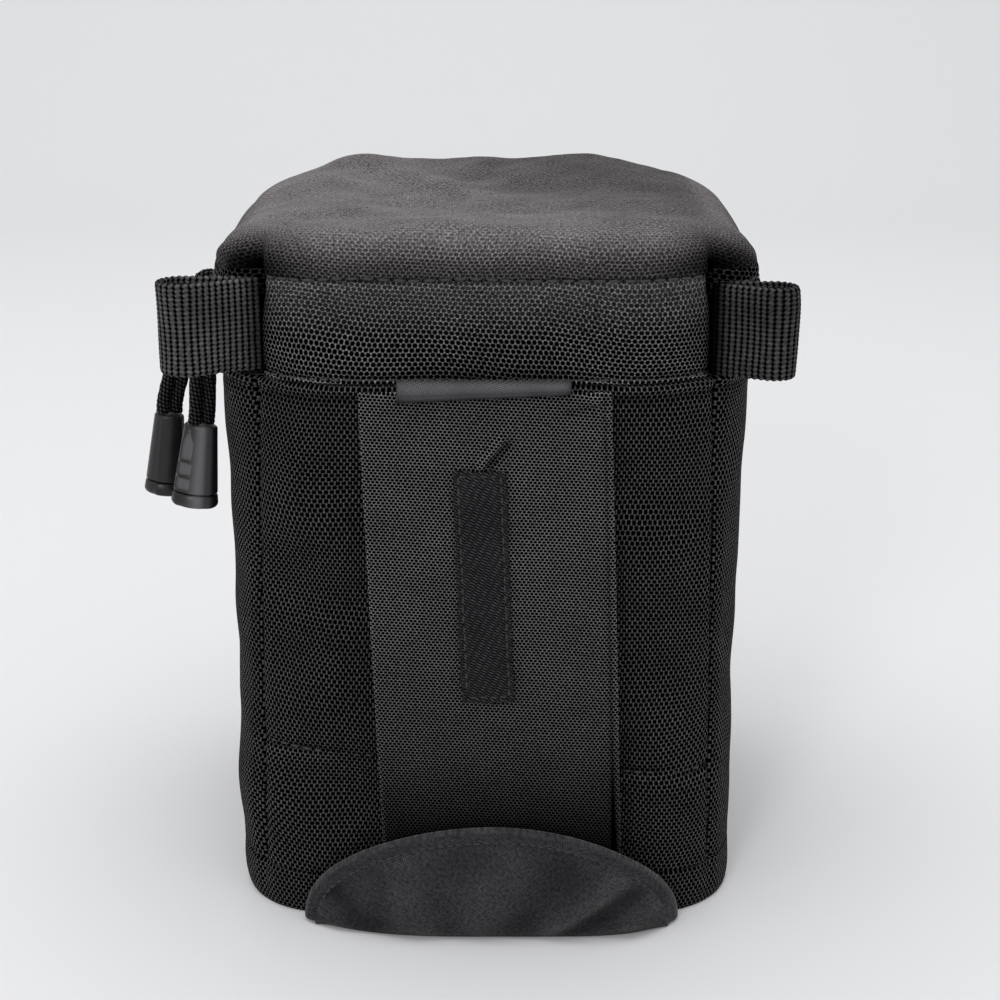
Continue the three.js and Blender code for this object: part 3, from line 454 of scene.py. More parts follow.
# The rounding of an edge along a quarter of an ellipse: how far the face drops at a distance from it.
def edgeDrop(distance, depth=0.6, width=0.8):
    share = np.clip(1 - distance / width, 0, 1)
    return depth * (1 - np.sqrt(1 - share ** 2))


clothUnit = 50.0  # mm of cloth to a unit of the simulation


# Cloth simulated on a coarse grid that is held along its border. Slack makes it longer than its
# frame and push presses it to one side, so it settles in a swell with wrinkles towards its corners.
# Gives how far each point of the grid moved in mm, scaled so that none goes further than the cap.
def simulateSheet(name, size, settings):
    columns, rows = (int(length / settings["cell"]) + 1 for length in size)
    x, y = np.meshgrid(np.linspace(0, size[0], columns), np.linspace(0, size[1], rows))
    random = np.random.default_rng(settings["seed"])
    points = np.stack([x, y, random.normal(0, 0.2, x.shape)], -1).reshape(-1, 3) / clothUnit
    mesh = bpy.data.meshes.new(name)
    mesh.from_pydata(points.tolist(), [], gridFaces(rows, columns).tolist())
    sheet = bpy.data.objects.new(name, mesh)
    scene.collection.objects.link(sheet)
    border = np.ones(x.shape, bool)
    border[1:-1, 1:-1] = False
    sheet.vertex_groups.new(name="held").add(np.flatnonzero(border).tolist(), 1.0, "REPLACE")
    cloth = sheet.modifiers.new("cloth", "CLOTH")
    cloth.settings.quality = 6
    cloth.settings.vertex_group_mass = "held"
    cloth.settings.shrink_min = -settings["slack"]
    cloth.settings.bending_stiffness = settings["bend"]
    cloth.settings.use_pressure = True
    cloth.settings.uniform_pressure_force = settings["push"]
    cloth.settings.effector_weights.gravity = 0
    for step in range(1, settings["frames"] + 1):
        scene.frame_set(step)
    moved = sheet.evaluated_get(bpy.context.evaluated_depsgraph_get()).to_mesh()
    places = np.empty(len(points) * 3)
    moved.vertices.foreach_get("co", places)
    bpy.data.objects.remove(sheet)
    scene.frame_set(1)
    heights = places.reshape(-1, 3)[:, 2].reshape(x.shape) * clothUnit
    print(name, "moved", heights.min().round(2), heights.max().round(2))
    return heights * min(1, settings["cap"] / np.abs(heights).max())


# A grid read at places given as shares of its width and height, smoothed by a cubic B-spline.
def sample(grid, across, up):
    parts = []
    for share, count in ((up, grid.shape[0]), (across, grid.shape[1])):
        place = np.clip(share, 0, 1) * (count - 1)
        cell = np.minimum(place.astype(int), count - 2)
        t = place - cell
        weights = [(1 - t) ** 3 / 6, (3 * t ** 3 - 6 * t ** 2 + 4) / 6,
                   (-3 * t ** 3 + 3 * t ** 2 + 3 * t + 1) / 6, t ** 3 / 6]
        parts.append([(np.clip(cell + k - 1, 0, count - 1), weights[k]) for k in range(4)])
    return sum(grid[i, j] * a * b for i, a in parts[0] for j, b in parts[1])


wallSheet = simulateSheet("wall_cloth", (100, 112), {
    "cell": 2.4, "seed": 5, "slack": 0.02, "push": 0.3, "bend": 0.6, "frames": 30, "cap": 1.5})
lidSheet = simulateSheet("lid_top_cloth", (96, 92), {
    "cell": 2.2, "seed": 8, "slack": 0.02, "push": -0.3, "bend": 0.5, "frames": 30, "cap": 2.0})
moonSheet = simulateSheet("half_moon_cloth", (76, 24), {
    "cell": 1.6, "seed": 3, "slack": 0.05, "push": 1.0, "bend": 0.4, "frames": 30, "cap": 2.0})
print("cloth simulated")

# Pulls: a cord looped round each slider's bar, and a moulded grip with its cap.
# out and drop are the place of the grip's top from the bar; the angles lean it and the loop, and turn it about its
# own axis. The last pair says how much paler its sides and its front are painted: a painted highlight down the near
# grip's front, painted shade over the far grip.
pullShape = {
    "bar": (-62.254, 133.0), "strands": 2.7, "diameter": 3.0, "gap": 0.3, "loop": 3.054,
    "joinDrop": 6.0, "joinSpread": 0.6, "cross": 0.8, "over": (0.66, 0.33, 0, -0.33, -0.66),
    "braid": (4, 2.6), "braidSink": 0.12, "braidBulge": 0.2,  # strands round the cord, and their twist per mm
    "grip": 19.0, "top": 3.7, "foot": 5.3, "flatten": 0.82, "cap": 3.0,
    "rim": 0.7, "capEdge": 1.1, "pressed": 0.1, "front": (1.85, 0.42, 1.0), "cutPaler": 9.0,
}
pulls = {
    "rear": {"y": -21.0, "out": 1.7, "drop": 28.3, "grip": 0.13, "hang": 0.04, "turn": 0.0,
             "wear": (-0.3, 10.0)},
    "front": {"y": -9.0, "out": 10.9, "drop": 29.0, "grip": 0.11, "hang": 0.6, "turn": -1.2,
              "wear": (-0.5, 0.3)},
}


# Centripetal Catmull-Rom curve through points. In each span neighbours are mixed by their places,
# four points to three, three to two and two to one.
def smoothCurve(points, perSpan):
    ends = np.concatenate([[2 * points[0] - points[1]], points, [2 * points[-1] - points[-2]]])
    places = np.concatenate([[0], np.cumsum(np.sqrt(np.linalg.norm(np.diff(ends, axis=0), axis=1)))])
    spans = []
    for i in range(len(points) - 1):
        t0, t1, t2, t3 = places[i:i + 4]
        t = np.linspace(t1, t2, perSpan, endpoint=False)[:, None]
        mixed = ends[i:i + 4]
        for pairs in (((t0, t1), (t1, t2), (t2, t3)), ((t0, t2), (t1, t3)), ((t1, t2),)):
            mixed = [((b - t) * p + (t - a) * q) / (b - a) for (a, b), p, q in zip(pairs, mixed, mixed[1:])]
        spans.append(mixed[0])
    return np.concatenate([*spans, points[-1:]])


# The cord's route in the pull's own upright plane: x away from the pouch, z up, bar at zero.
def cordRoute(pull):
    size = pullShape
    up = np.array([-np.sin(pull["grip"]), np.cos(pull["grip"])])
    hang = np.array([-np.sin(pull["hang"]), np.cos(pull["hang"])])
    start = np.array([pull["out"], -pull["drop"]]) + up * size["gap"]
    sides = []
    for side in (-1, 1):
        foot = start + np.array([up[1], -up[0]]) * side * size["strands"] / 2
        beside = np.array([hang[1], -hang[0]]) * side * size["loop"]
        sides.append([foot, foot + up * size["diameter"], beside * size["joinSpread"] - hang * size["joinDrop"],
                      beside])
    turns = pull["hang"] + np.array(size["over"]) * np.pi / 2
    over = joined(-np.sin(turns), np.cos(turns)) * size["loop"]
    return np.array([*sides[0], *over, *sides[1][::-1]])


# A tube round the route, raised where two slanting families of sine waves cross as strands.
def makeCord(name, pull):
    size = pullShape
    flat = smoothCurve(cordRoute(pull), 22)
    points = joined(size["bar"][0] - flat[:, 0], pull["y"], size["bar"][1] + flat[:, 1])
    # Lower down the two strands lie slightly in front of each other.
    crossing = np.linspace(1, -1, len(points))
    points[:, 1] += size["cross"] * np.sign(crossing) * ease(np.abs(crossing), 0.35, 0.9)
    ways = unit(np.gradient(points, axis=0))
    normal = unit(np.cross(ways, [0.0, 1.0, 0.0]))
    side = np.cross(normal, ways)[:, None]
    along = gone(points)
    radius = size["diameter"] / 2
    # Strands of the braid cross at a slant; each bulges by a few hundredths of a millimetre.
    ss, tt = spread(along, np.linspace(0, 2 * np.pi, 33)[:-1])
    strands, twist = size["braid"]
    braid = np.abs(np.sin(strands * tt + ss * twist)) * np.abs(np.sin(strands * tt - ss * twist))
    rings = points[:, None] + (radius - size["braidSink"] + size["braidBulge"] * braid)[..., None] * (
        np.cos(tt)[..., None] * normal[:, None] + np.sin(tt)[..., None] * side)
    cord = makeTube(name, rings, cordBraid, joined(tt * radius, ss), 2 * np.pi * radius)
    return cord


for side, pull in pulls.items():
    settle(makeCord(f"cord_{side}", pull), f"pull_{side}", "pull_cord", f"pull_cord_{side}")
print("cords made")


# Outer radius of a grip at a distance below its top.
def gripRadius(below):
    return pullShape["top"] + (pullShape["foot"] - pullShape["top"]) * below / pullShape["grip"]


# Turned, flattened barrel: rows are pairs of radius share and distance below the top.
# cut says how deep the surface is pressed in at an angle and a distance below.
def makeBarrel(name, pull, rows, cut):
    size = pullShape
    below, tt = spread(rows[:, 1], np.linspace(0, 2 * np.pi, 145)[:-1])
    # Front and back are pressed flatter than a round, with an edge where they meet the flanks.
    own = np.mod(tt - pull["turn"] + np.pi, 2 * np.pi) - np.pi
    flat = 1 - size["pressed"] * ease(np.abs(np.sin(own)), 0.55, 0.8)
    pressed = cut(own, below) * (rows[:, :1] > 1)
    radius = rows[:, :1] * flat - pressed
    x, y, z = radius * np.cos(tt), radius * np.sin(tt) * size["flatten"], -below
    lean = pull["grip"]
    outward = x * np.cos(lean) - z * np.sin(lean) + pull["out"]
    upward = x * np.sin(lean) + z * np.cos(lean) - pull["drop"]
    rings = joined(size["bar"][0] - outward, pull["y"] - y, size["bar"][1] + upward)
    # Sides painted darker and the front facet paler, a painted highlight on the near grip and painted shade on the
    # far one; the recesses are painted paler as well.
    sides, front = pull["wear"]
    rubbed = sides + (front - sides) * humps(own, size["front"])
    return makeTube(name, rings, pullPlastic, marks={"wear": rubbed + size["cutPaler"] * pressed})


# Recesses down a grip's front; each is (half width, top and bottom as shares of its length).
gripCuts = {"angle": 0.85, "depth": 0.7, "each": [(1.7, 0.06, 0.50), (2.0, 0.56, 0.73), (2.1, 0.79, 0.95)]}


# How deep the recesses are at an angle and a distance below; the uppermost narrows towards its top.
def gripCut(turn, below):
    length = pullShape["grip"] - pullShape["cap"] - pullShape["gap"]
    apart = turn - gripCuts["angle"]
    across = np.abs(gripRadius(below) * np.sin(np.clip(apart, -np.pi / 2, np.pi / 2)))
    cut = np.zeros_like(turn)
    for half, top, bottom in gripCuts["each"]:
        taper = half * (np.clip((below / length - top) / 0.2, 0.3, 1) if top < 0.1 else 1)
        inside = np.minimum(taper - across, np.minimum(below - top * length, bottom * length - below))
        cut = np.maximum(cut, gripCuts["depth"] * ease(inside, -0.12, 0.18) * (np.abs(apart) < np.pi / 2))
    return cut


# The grip is a cone with a rounded top rim, and its cap a disc with a rounded lower edge.
def makeGrip(side, pull):
    size = pullShape
    length = size["grip"] - size["cap"] - size["gap"]
    bend = np.linspace(0, np.pi / 2, 7)
    rim, edge = size["rim"], size["capEdge"]
    top = [(0.5, 0), (1.2, 0), (2.0, 0)] + [
        (gripRadius(rim) - rim + rim * np.sin(b), rim * (1 - np.cos(b))) for b in bend]
    wall = [(gripRadius(b), b) for b in np.linspace(rim, length - 0.3, 150)[1:]]
    foot = [(gripRadius(length) - 0.3, length), (3.0, length), (0.5, length)]
    grip = makeBarrel(f"grip_{side}", pull, np.array(top + wall + foot), gripCut)
    start = size["grip"] - size["cap"]
    upper = [(0.5, start), (3.0, start), (gripRadius(start) - 0.25, start), (gripRadius(start), start + 0.25)]
    lower = [(size["foot"] - edge + edge * np.cos(b), size["grip"] - edge + edge * np.sin(b)) for b in bend]
    rows = np.array(upper + lower + [(2.0, size["grip"]), (0.5, size["grip"])])
    cap = makeBarrel(f"cap_{side}", pull, rows, lambda turn, below: np.zeros_like(turn))
    settle(grip, f"pull_{side}", "pull_plastic", f"pull_grip_{side}")
    settle(cap, f"pull_{side}", "pull_plastic", f"pull_cap_{side}")


for side, pull in pulls.items():
    makeGrip(side, pull)
print("grips made")


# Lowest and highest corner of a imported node, in millimetres.
def boxOf(node):
    low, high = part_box(node)
    return np.array(low) / mm, np.array(high) / mm


lidLow, lidHigh = boxOf("lid_top")
panelLow, panelHigh = boxOf("back_panel")
bandLow, bandHigh = boxOf("zip_band")
skirtLow, skirtHigh = boxOf("lid_skirt")
pouch = {
    "halfWidth": lidHigh[0],
    "halfDepth": lidHigh[1],
    "corner": 28.0,  # radius of the upright corners in plan, from the seam up
    "baseCorner": 20.0,  # and at the floor
    "seamZ": panelHigh[2] + 0.15,  # between the wall panels and the band
    "foldZ": lidLow[2] - 0.15,  # the lid folds back here
    "rimZ": lidHigh[2],
    "bootZ": panelLow[2] - 0.15,
    "footDepth": 1.0,  # the walls curve in by this at the floor
    "footHeight": 5.0,
    "cloth": 1.2,  # thickness of cloth with its backing
}

# The outline in plan is measured by the distance s round it from the middle of the belt side
# towards +X. Four walls meet at the middles of the corners; each wall is straight, then turns by
# 45 degrees at each end, on a radius that changes with height.
spanX = pouch["halfWidth"] - pouch["corner"]
spanY = pouch["halfDepth"] - pouch["corner"]
eighth = pouch["corner"] * np.pi / 4
rearRight = spanX + eighth
frontRight = rearRight + 2 * (spanY + eighth)
perimeter = 2 * (rearRight + frontRight)
seams = np.array([rearRight, frontRight, perimeter - frontRight, perimeter - rearRight])
rearSeams = seams[[0, 3]]
wallMiddles = np.array([0, (rearRight + frontRight) / 2, perimeter / 2, perimeter - (rearRight + frontRight) / 2])
# For each wall the way along it and the way out, in plan.
wallWays = np.array([[1, 0, 0, -1], [0, 1, 1, 0], [-1, 0, 0, 1], [0, -1, -1, 0]])


# Radius of the upright corners at a height, growing evenly from the floor up to the seam.
def cornerAt(z):
    share = np.clip(z / pouch["seamZ"], 0, 1)
    return pouch["baseCorner"] + (pouch["corner"] - pouch["baseCorner"]) * share


# The wall that each place lies on, and its distance from the middle of that wall.
def wallAt(s):
    wall = np.searchsorted(seams, np.mod(s, perimeter)) % 4
    return wall, np.mod(s - wallMiddles[wall] + perimeter / 2, perimeter) - perimeter / 2


# A point of the outline drawn in by an inset, at a height: the wall's middle line plus its turn.
def outline(s, inset, z):
    wall, apart = wallAt(s)
    across = wall % 2 == 0
    half = np.where(across, pouch["halfWidth"], pouch["halfDepth"])
    away = np.where(across, pouch["halfDepth"], pouch["halfWidth"])
    corner = cornerAt(z)
    straight = half - corner
    t = apart * (straight + corner * np.pi / 4) / np.where(across, spanX + eighth, spanY + eighth)
    turn = np.maximum(np.abs(t) - straight, 0) / corner
    radius = np.maximum(corner - inset, 1.5)
    along = np.clip(t, -straight, straight) * (half - inset - radius) / straight
    u = along + np.sign(t) * radius * np.sin(turn)
    v = away - inset - radius + radius * np.cos(turn)
    ways = wallWays[wall]
    return u * ways[..., 0] + v * ways[..., 2], u * ways[..., 1] + v * ways[..., 3]


# The same with its height, as a point in space.
def outlinePoints(s, inset, z):
    return joined(*outline(s, inset, z), z)


# Rings round the middle are drawn in as far as this and closed across.
centreInset = pouch["halfDepth"] - 1.9


# Distance along the outline to the nearest of some places.
def apartFrom(s, places):
    return np.abs(np.mod(s[..., None] - places + perimeter / 2, perimeter) - perimeter / 2).min(-1)


# Distance along the outline from the middle of the belt side, less than zero on the left.
def signedS(s):
    return np.where(s > perimeter / 2, s - perimeter, s)


# The walls curve in towards the floor, along a quarter of an ellipse.
def footInset(z):
    return edgeDrop(z, pouch["footDepth"], pouch["footHeight"])


shellSoftness = {
    "waves": [(0.3, 46, 4), (0.15, 17, 9)],  # height, length and seed
    "swell": (0.7, 0.14),  # shares of the simulated swell: belt side and front, then the sides
    "bulge": (1.7, 1.3), "bulgeX": (44, 54), "bulgeY": (-18, 34, 1.0), "bulgeZ": (84, 122), "bulgeEnd": (140, 150),
    "dents": [(1, 48, 16, -1.1), (-1, 27, 10, 1.2)], "dentX": (40, 54),  # side, height, half width, depth
    "crumpleAt": 9.5, "crumple": (0, 7, 2.2), "crumpleZ": (141, 9, 1.0),
    "pucker": (0, 16, 0.7), "puckerWave": (8, 31), "topZ": (145.5, 7, 1.0), "topGroove": (0, 3.0, 3.2),
    "calm": 3, "groove": (0.5, 1.5), "grooveZ": (98, 126), "grooveEnd": (143, 147), "grooveWidth": 0.9,
    "shoulder": (3.4, 1.6, 0.3), "footZ": 6,
}


# How far the cloth stands out from its plain shape: broad and fine undulations, drawn in at the
# seams, full at the sides below the lid and crumpled where the webbing loops pull at the corners.
def softOut(s, z, seamPlaces=seams):
    size = shellSoftness
    place = outlinePoints(s, 0, z)
    x, y = place[..., 0], place[..., 1]
    out = sum(height * ripple(place, length, seed) for height, length, seed in size["waves"])
    # The simulated swell of each wall, turned over from wall to wall so that no two look alike.
    wall, apart = wallAt(s)
    across = wall % 2 == 0
    share = 0.5 + apart / np.where(across, 2 * rearRight, frontRight - rearRight)
    share = np.where(wall >= 2, 1 - share, share)
    rise = (z - pouch["bootZ"]) / (pouch["seamZ"] - pouch["bootZ"])
    swell = sample(wallSheet, share, rise) * ease(rise, 0, 0.05) * ease(1 - rise, 0, 0.05)
    out = out + swell * np.where(across, *size["swell"])
    full = np.where(x < 0, *size["bulge"]) * humps(y, size["bulgeY"]) * ease(np.abs(x), *size["bulgeX"])
    out = out + full * ease(z, *size["bulgeZ"]) * (1 - 1.3 * ease(z, *size["bulgeEnd"]))
    for side, height, width, depth in size["dents"]:
        out = out + depth * ease(x * side, *size["dentX"]) * hump(z - height, width)
    beside = apartFrom(s, rearSeams + np.array([1, -1]) * size["crumpleAt"])
    out = out + humps(beside, size["crumple"]) * humps(z, size["crumpleZ"])
    rear, high = apartFrom(s, rearSeams), humps(z, size["topZ"])
    out = out + high * humps(rear, size["pucker"]) * ripple(place, *size["puckerWave"])
    apart = apartFrom(s, seamPlaces)
    low, top = size["groove"]
    deep = (low + (top - low) * ease(z, *size["grooveZ"])) * (1 - ease(z, *size["grooveEnd"]))
    out = out * (1 - hump(apart, size["calm"])) - deep * hump(apart, size["grooveWidth"])
    out = out - high * humps(rear, size["topGroove"]) + humps(apart, size["shoulder"])
    return out * np.clip(z / size["footZ"], 0, 1)


# The cloth's map is stretched and drawn a little, so its rows run unevenly.
def drawnMap(cloth, points):
    return cloth + 0.9 * joined(*(ripple(points, 26, seed) for seed in (33, 34)))


# One piece of the shell between two places round the outline and two heights.
def shellPiece(name, start, end, low, high, material, extra, wear, step=1.6, ends=(0.6, 0.6), rubFrom=(900, 901)):
    zz, ss = spread(spaced(low, high, step), spaced(start, end, step))
    out = softOut(ss, zz) + extra(ss, zz)
    drop = np.maximum(edgeDrop(zz - low, ends[0]), edgeDrop(high - zz, ends[1]))
    drop = np.maximum(drop, edgeDrop(np.minimum(ss - start, end - ss)))
    outer, inner = (outlinePoints(ss, inset + footInset(zz), zz)
                    for inset in (drop - out, pouch["cloth"] - drop - out))
    return makeSheet(name, outer, inner, drawnMap(joined(ss, zz), outer), material,
                     rub=0.2 * ease(zz, *rubFrom), wear=wear(ss, zz))


# Wall panels: a stitched fold along the top edge, and a stitched line low on the belt side.
# What each sewn line adds to the surface, and to its colour, is a table of humps from that line: painted shade where
# the cloth is drawn in, and a painted highlight on the fold beside it.
backSeam = {"left": (-rearRight, 41.0), "right": (rearRight, 34.0)}
gap = 0.15
sewing = {
    "panelTop": [(-1.1, 0.75, 0.7), (-2.5, 0.5, -0.5)], "panelTopPaintedLight": [(-1.0, 0.7, 0.5), (-2.5, 0.6, -0.6)],
    "lower": [(0, 0.9, -0.7)], "lowerPaintedLight": [(-1.4, 0.8, 0.4), (0, 0.7, -0.7)],
    "bandLowPaintedLight": [(0.5, 0.5, 0.6), (1.6, 0.5, -0.6)],
    "bandTop": [(-0.5, 0.6, -0.4)], "bandTopPaintedLight": [(-0.5, 0.55, -0.8), (-1.7, 0.6, 0.3)],
    "bandEndPaintedShade": (0, 3.2, 1.0),
    "stripPaintedLight": [(0, 7, -0.45)],
}


# What the sewn top of a wall panel adds to its surface.
def belowBand(s, z):
    return humps(z - pouch["seamZ"], *sewing["panelTop"])


# Painted shade and highlights of the walls, along their sewn top and along the stitched line of the belt side.
def wallPaintedLight(s, z):
    behind = np.abs(signedS(s)) < rearRight
    return humps(z - pouch["seamZ"], *sewing["panelTopPaintedLight"]) + (
        behind * humps(z - lowerLine(s), *sewing["lowerPaintedLight"]))


# Painted shade and highlights of the back band along both its edges, and painted shade towards its ends.
def bandPaintedLight(s, z):
    return (humps(z - pouch["seamZ"], *sewing["bandLowPaintedLight"]) + humps(z - pouch["foldZ"], *sewing["bandTopPaintedLight"])
            - humps(rearRight - np.abs(signedS(s)), sewing["bandEndPaintedShade"]))


# The strips beside the zipper are painted darker all over, with painted shade most of all at the rear corners.
def stripPaintedLight(s, z):
    return -0.4 + humps(apartFrom(s, rearSeams), *sewing["stripPaintedLight"])


# Height of the belt side's stitched line, which falls evenly from left to right.
def lowerLine(s):
    return np.interp(signedS(s), *zip(backSeam["left"], backSeam["right"]))


# What the sewn top and the stitched line add to the belt side.
def backExtra(s, z):
    return belowBand(s, z) + humps(z - lowerLine(s), *sewing["lower"])


walls = [
    ("shell_back", -rearRight, rearRight, backExtra, "back_panel"),
    ("shell_right", rearRight, frontRight, belowBand, "right_panel"),
    ("shell_front", frontRight, perimeter - frontRight, belowBand, "front_panel"),
    ("shell_left", perimeter - frontRight, perimeter - rearRight, belowBand, "left_panel"),
]
for name, start, end, extra, node in walls:
    wall = shellPiece(name, start + gap, end - gap, pouch["bootZ"] + gap, pouch["seamZ"] - gap, shellNylon, extra,
                      wallPaintedLight)
    settle(wall, "pouch", "pack_cloth", node)
print("wall panels made")


# Boot: cloth that covers the base and wraps up the walls; flat where it rests.
def makeBoot():
    s = np.linspace(0, perimeter, 281)[:-1]
    rise, ss = spread(spaced(0.0, pouch["bootZ"], 1.0)[::-1], s)
    drop = edgeDrop(pouch["bootZ"] - rise)
    out = softOut(ss, rise)
    flat, ff = spread(np.array([4, 9, 14, 22, 30, 38, 46, 50, centreInset]), s)
    grids = []
    for depth in (0, pouch["cloth"]):
        x, y = outline(ss, np.abs(depth - drop) - out + footInset(rise), rise)
        lower = joined(*outline(ff, flat, 0), depth)
        grids.append(np.concatenate([joined(x, y, np.maximum(rise, depth)), lower]))
    cloth = np.concatenate([joined(ss, rise), joined(ff, -flat)])
    return makeSheet("shell_boot", grids[0], grids[1], cloth, shellNylon, True, perimeter, capped=True)


boot = settle(makeBoot(), "pouch", "pack_cloth", "base_panel", "base_pad")
print("boot made")


# Bands: the back band below the lid's fold, and the strips on each side of the zipper.
# A folded hem is thick as far as its stitches and drawn in there.
def hemOut(z, edge, way, stitchAt):
    inside = (z - edge) * way
    return 0.45 * (1 - ease(inside, stitchAt - 0.3, stitchAt + 0.3)) - 0.3 * hump(inside - stitchAt, 0.5)


bandShape = {"puff": 1.1, "puffFrom": (2, 14), "pinch": (0, 4.5, 1.2), "hem": 1.0, "zipHem": 2.6}


# The back band is puffed by half a sine wave over its height and pinched in at both ends.
def backBandOut(s, z):
    share = (z - pouch["seamZ"]) / (pouch["foldZ"] - pouch["seamZ"])
    apart = rearRight - np.abs(signedS(s))
    puff = bandShape["puff"] * np.sin(np.pi * np.clip(share, 0, 1)) * ease(apart, *bandShape["puffFrom"])
    return (hemOut(z, pouch["seamZ"], 1, bandShape["hem"]) + puff - humps(apart, bandShape["pinch"])
            + humps(z - pouch["foldZ"], *sewing["bandTop"]))


# The band below the zipper has its hem along the top.
def zipBandOut(s, z):
    return hemOut(z, bandHigh[2], -1, bandShape["zipHem"])


# The lid's skirt has its hem along the foot.
def skirtOut(s, z):
    return hemOut(z, skirtLow[2], 1, bandShape["zipHem"])


band = shellPiece("shell_back_band", -rearRight + gap, rearRight - gap, pouch["seamZ"] + gap, pouch["foldZ"],
                  bandNylon, backBandOut, bandPaintedLight, step=0.7, ends=(0.6, 0.05), rubFrom=(130, 145))
settle(band, "pouch", "pack_cloth", "back_band")
strips = [
    ("shell_zip_band", bandLow[2], bandHigh[2], zipBandOut, 0.5, "pouch", "zip_band"),
    ("lid_zip_skirt", skirtLow[2], skirtHigh[2], skirtOut, 0.05, "lid", "lid_skirt"),
]
for name, low, high, extra, topDrop, body, node in strips:
    strip = shellPiece(name, rearRight + gap, perimeter - rearRight - gap, low, high, bandNylon, extra, stripPaintedLight,
                       step=1.2, ends=(0.5, topDrop))
    settle(strip, body, "pack_cloth", node)

zipTape = {"inset": 1.5, "thick": 0.7, "end": 1.2}
for name, node, body in (("zip_tape_below", "zip_tape_lower", "pouch"), ("zip_tape_above", "zip_tape_upper", "lid")):
    low, high = boxOf(node)
    start = rearRight + zipTape["end"]
    zz, ss = spread(np.linspace(low[2], high[2], 7), np.linspace(start, perimeter - start, 260))
    outer, inner = (outlinePoints(ss, zipTape["inset"] + depth, zz) for depth in (0, zipTape["thick"]))
    settle(makeSheet(name, outer, inner, joined(ss, zz), zipTapeCloth), body, "zip_tape", node)
print("bands and tapes made")


# Foam behind a wall: its outer face lies under the wall's cloth and follows it.
foamShape = {"under": 1.3, "inside": 7.9, "end": 0.4}
for name, start, end, extra, node in walls:
    node = node.replace("panel", "pad")
    low, high = boxOf(node)
    zz, ss = spread(np.linspace(low[2], high[2], 90),
                    np.linspace(start + foamShape["end"], end - foamShape["end"], 90))
    out = softOut(ss, zz) + np.where(zz < pouch["seamZ"], extra(ss, zz), backBandOut(ss, zz))
    outer, inner = (outlinePoints(ss, inset + footInset(zz), zz)
                    for inset in (foamShape["under"] - out, foamShape["inside"]))
    foam = makeSheet(name.replace("shell", "foam"), outer, inner, joined(ss, zz), foamGrey)
    settle(foam, "pouch", "foam", node)
print("foam made")

# Lid: upright side, rounded rim, then a top that sags between the rims in soft folds.
lidShape = {
    "edgeDepth": 13.0, "edgeHeight": 8.0, "sag": 2.4, "sagOver": 34, "tilt": ([-50, -20, 46], [-0.9, 0, 2.3]),
    "waves": [(0.35, 30, 21), (0.175, 13, 5)],  # height, length and seed
    "sideX": (26, 54), "sideDrops": [(1.5, -48, -10), (0.9, 5, 44)], "slack": 0.4,
    "bulges": [(5, 3, 0.5), (0, 0.5, -0.2)], "rub": (0.2, 0.36),
    "folds": [
        ((-34, 44), (-10, 10), 6.0, 1.3), ((-10, 10), (14, 2), 8.0, 0.8), ((5, 40), (-4, 22), 4.0, -0.8),
        ((20, 50), (34, 10), 9.0, 1.1), ((-40, 20), (-30, -20), 7.0, 0.8), ((-8, 40), (-2, 22), 5.0, -0.7),
        ((36, -20), (22, -8), 6.0, 0.6), ((-20, -10), (8, -18), 8.0, -0.8), ((14, 30), (8, 10), 7.0, -0.6),
    ],
}


# How far the top stands above the rim's height: its sag, the simulated slack, waves and folds.
def lidRise(x, y, inset):
    size = lidShape
    share = np.clip((inset - size["edgeDepth"]) / size["sagOver"], 0, 1)
    rise = np.interp(y, *size["tilt"]) - size["sag"] * (1 - np.cos(np.pi * share)) / 2
    rise = rise + size["slack"] * sample(lidSheet, (x + 48) / 96, (y + 46) / 92)
    # The rims at the sides lie lower than the middle of the far one, most of all at its corners.
    drops = sum(depth * ease(y, low, high) for depth, low, high in size["sideDrops"])
    rise = rise - ease(np.abs(x), *size["sideX"]) * drops
    place = joined(x, y, 0)
    folds = sum(height * ripple(place, length, seed) for height, length, seed in size["waves"])
    return rise + (folds + ridges(x, y, size["folds"])) * ease(inset, 2, 12)


# Painted light on the lid: paler in the middle and to the left, painted shade to the right and towards the far rim,
# low on its side and in the corners, and a painted highlight along the crest.
# along is the distance up over the rim.
def lidPaintedLight(s, x, y, along):
    wear = 0.12 - 0.55 * ease(x + 0.6 * y, -15, 45) * ease(along, 6, 16) - 0.42 * (1 - ease(along, 1, 9))
    corner = humps(apartFrom(s, rearSeams), (0, 11, 0.7)) * (1 - ease(along, 3, 14))
    return wear + humps(along, (12, 3, 0.12)) - corner


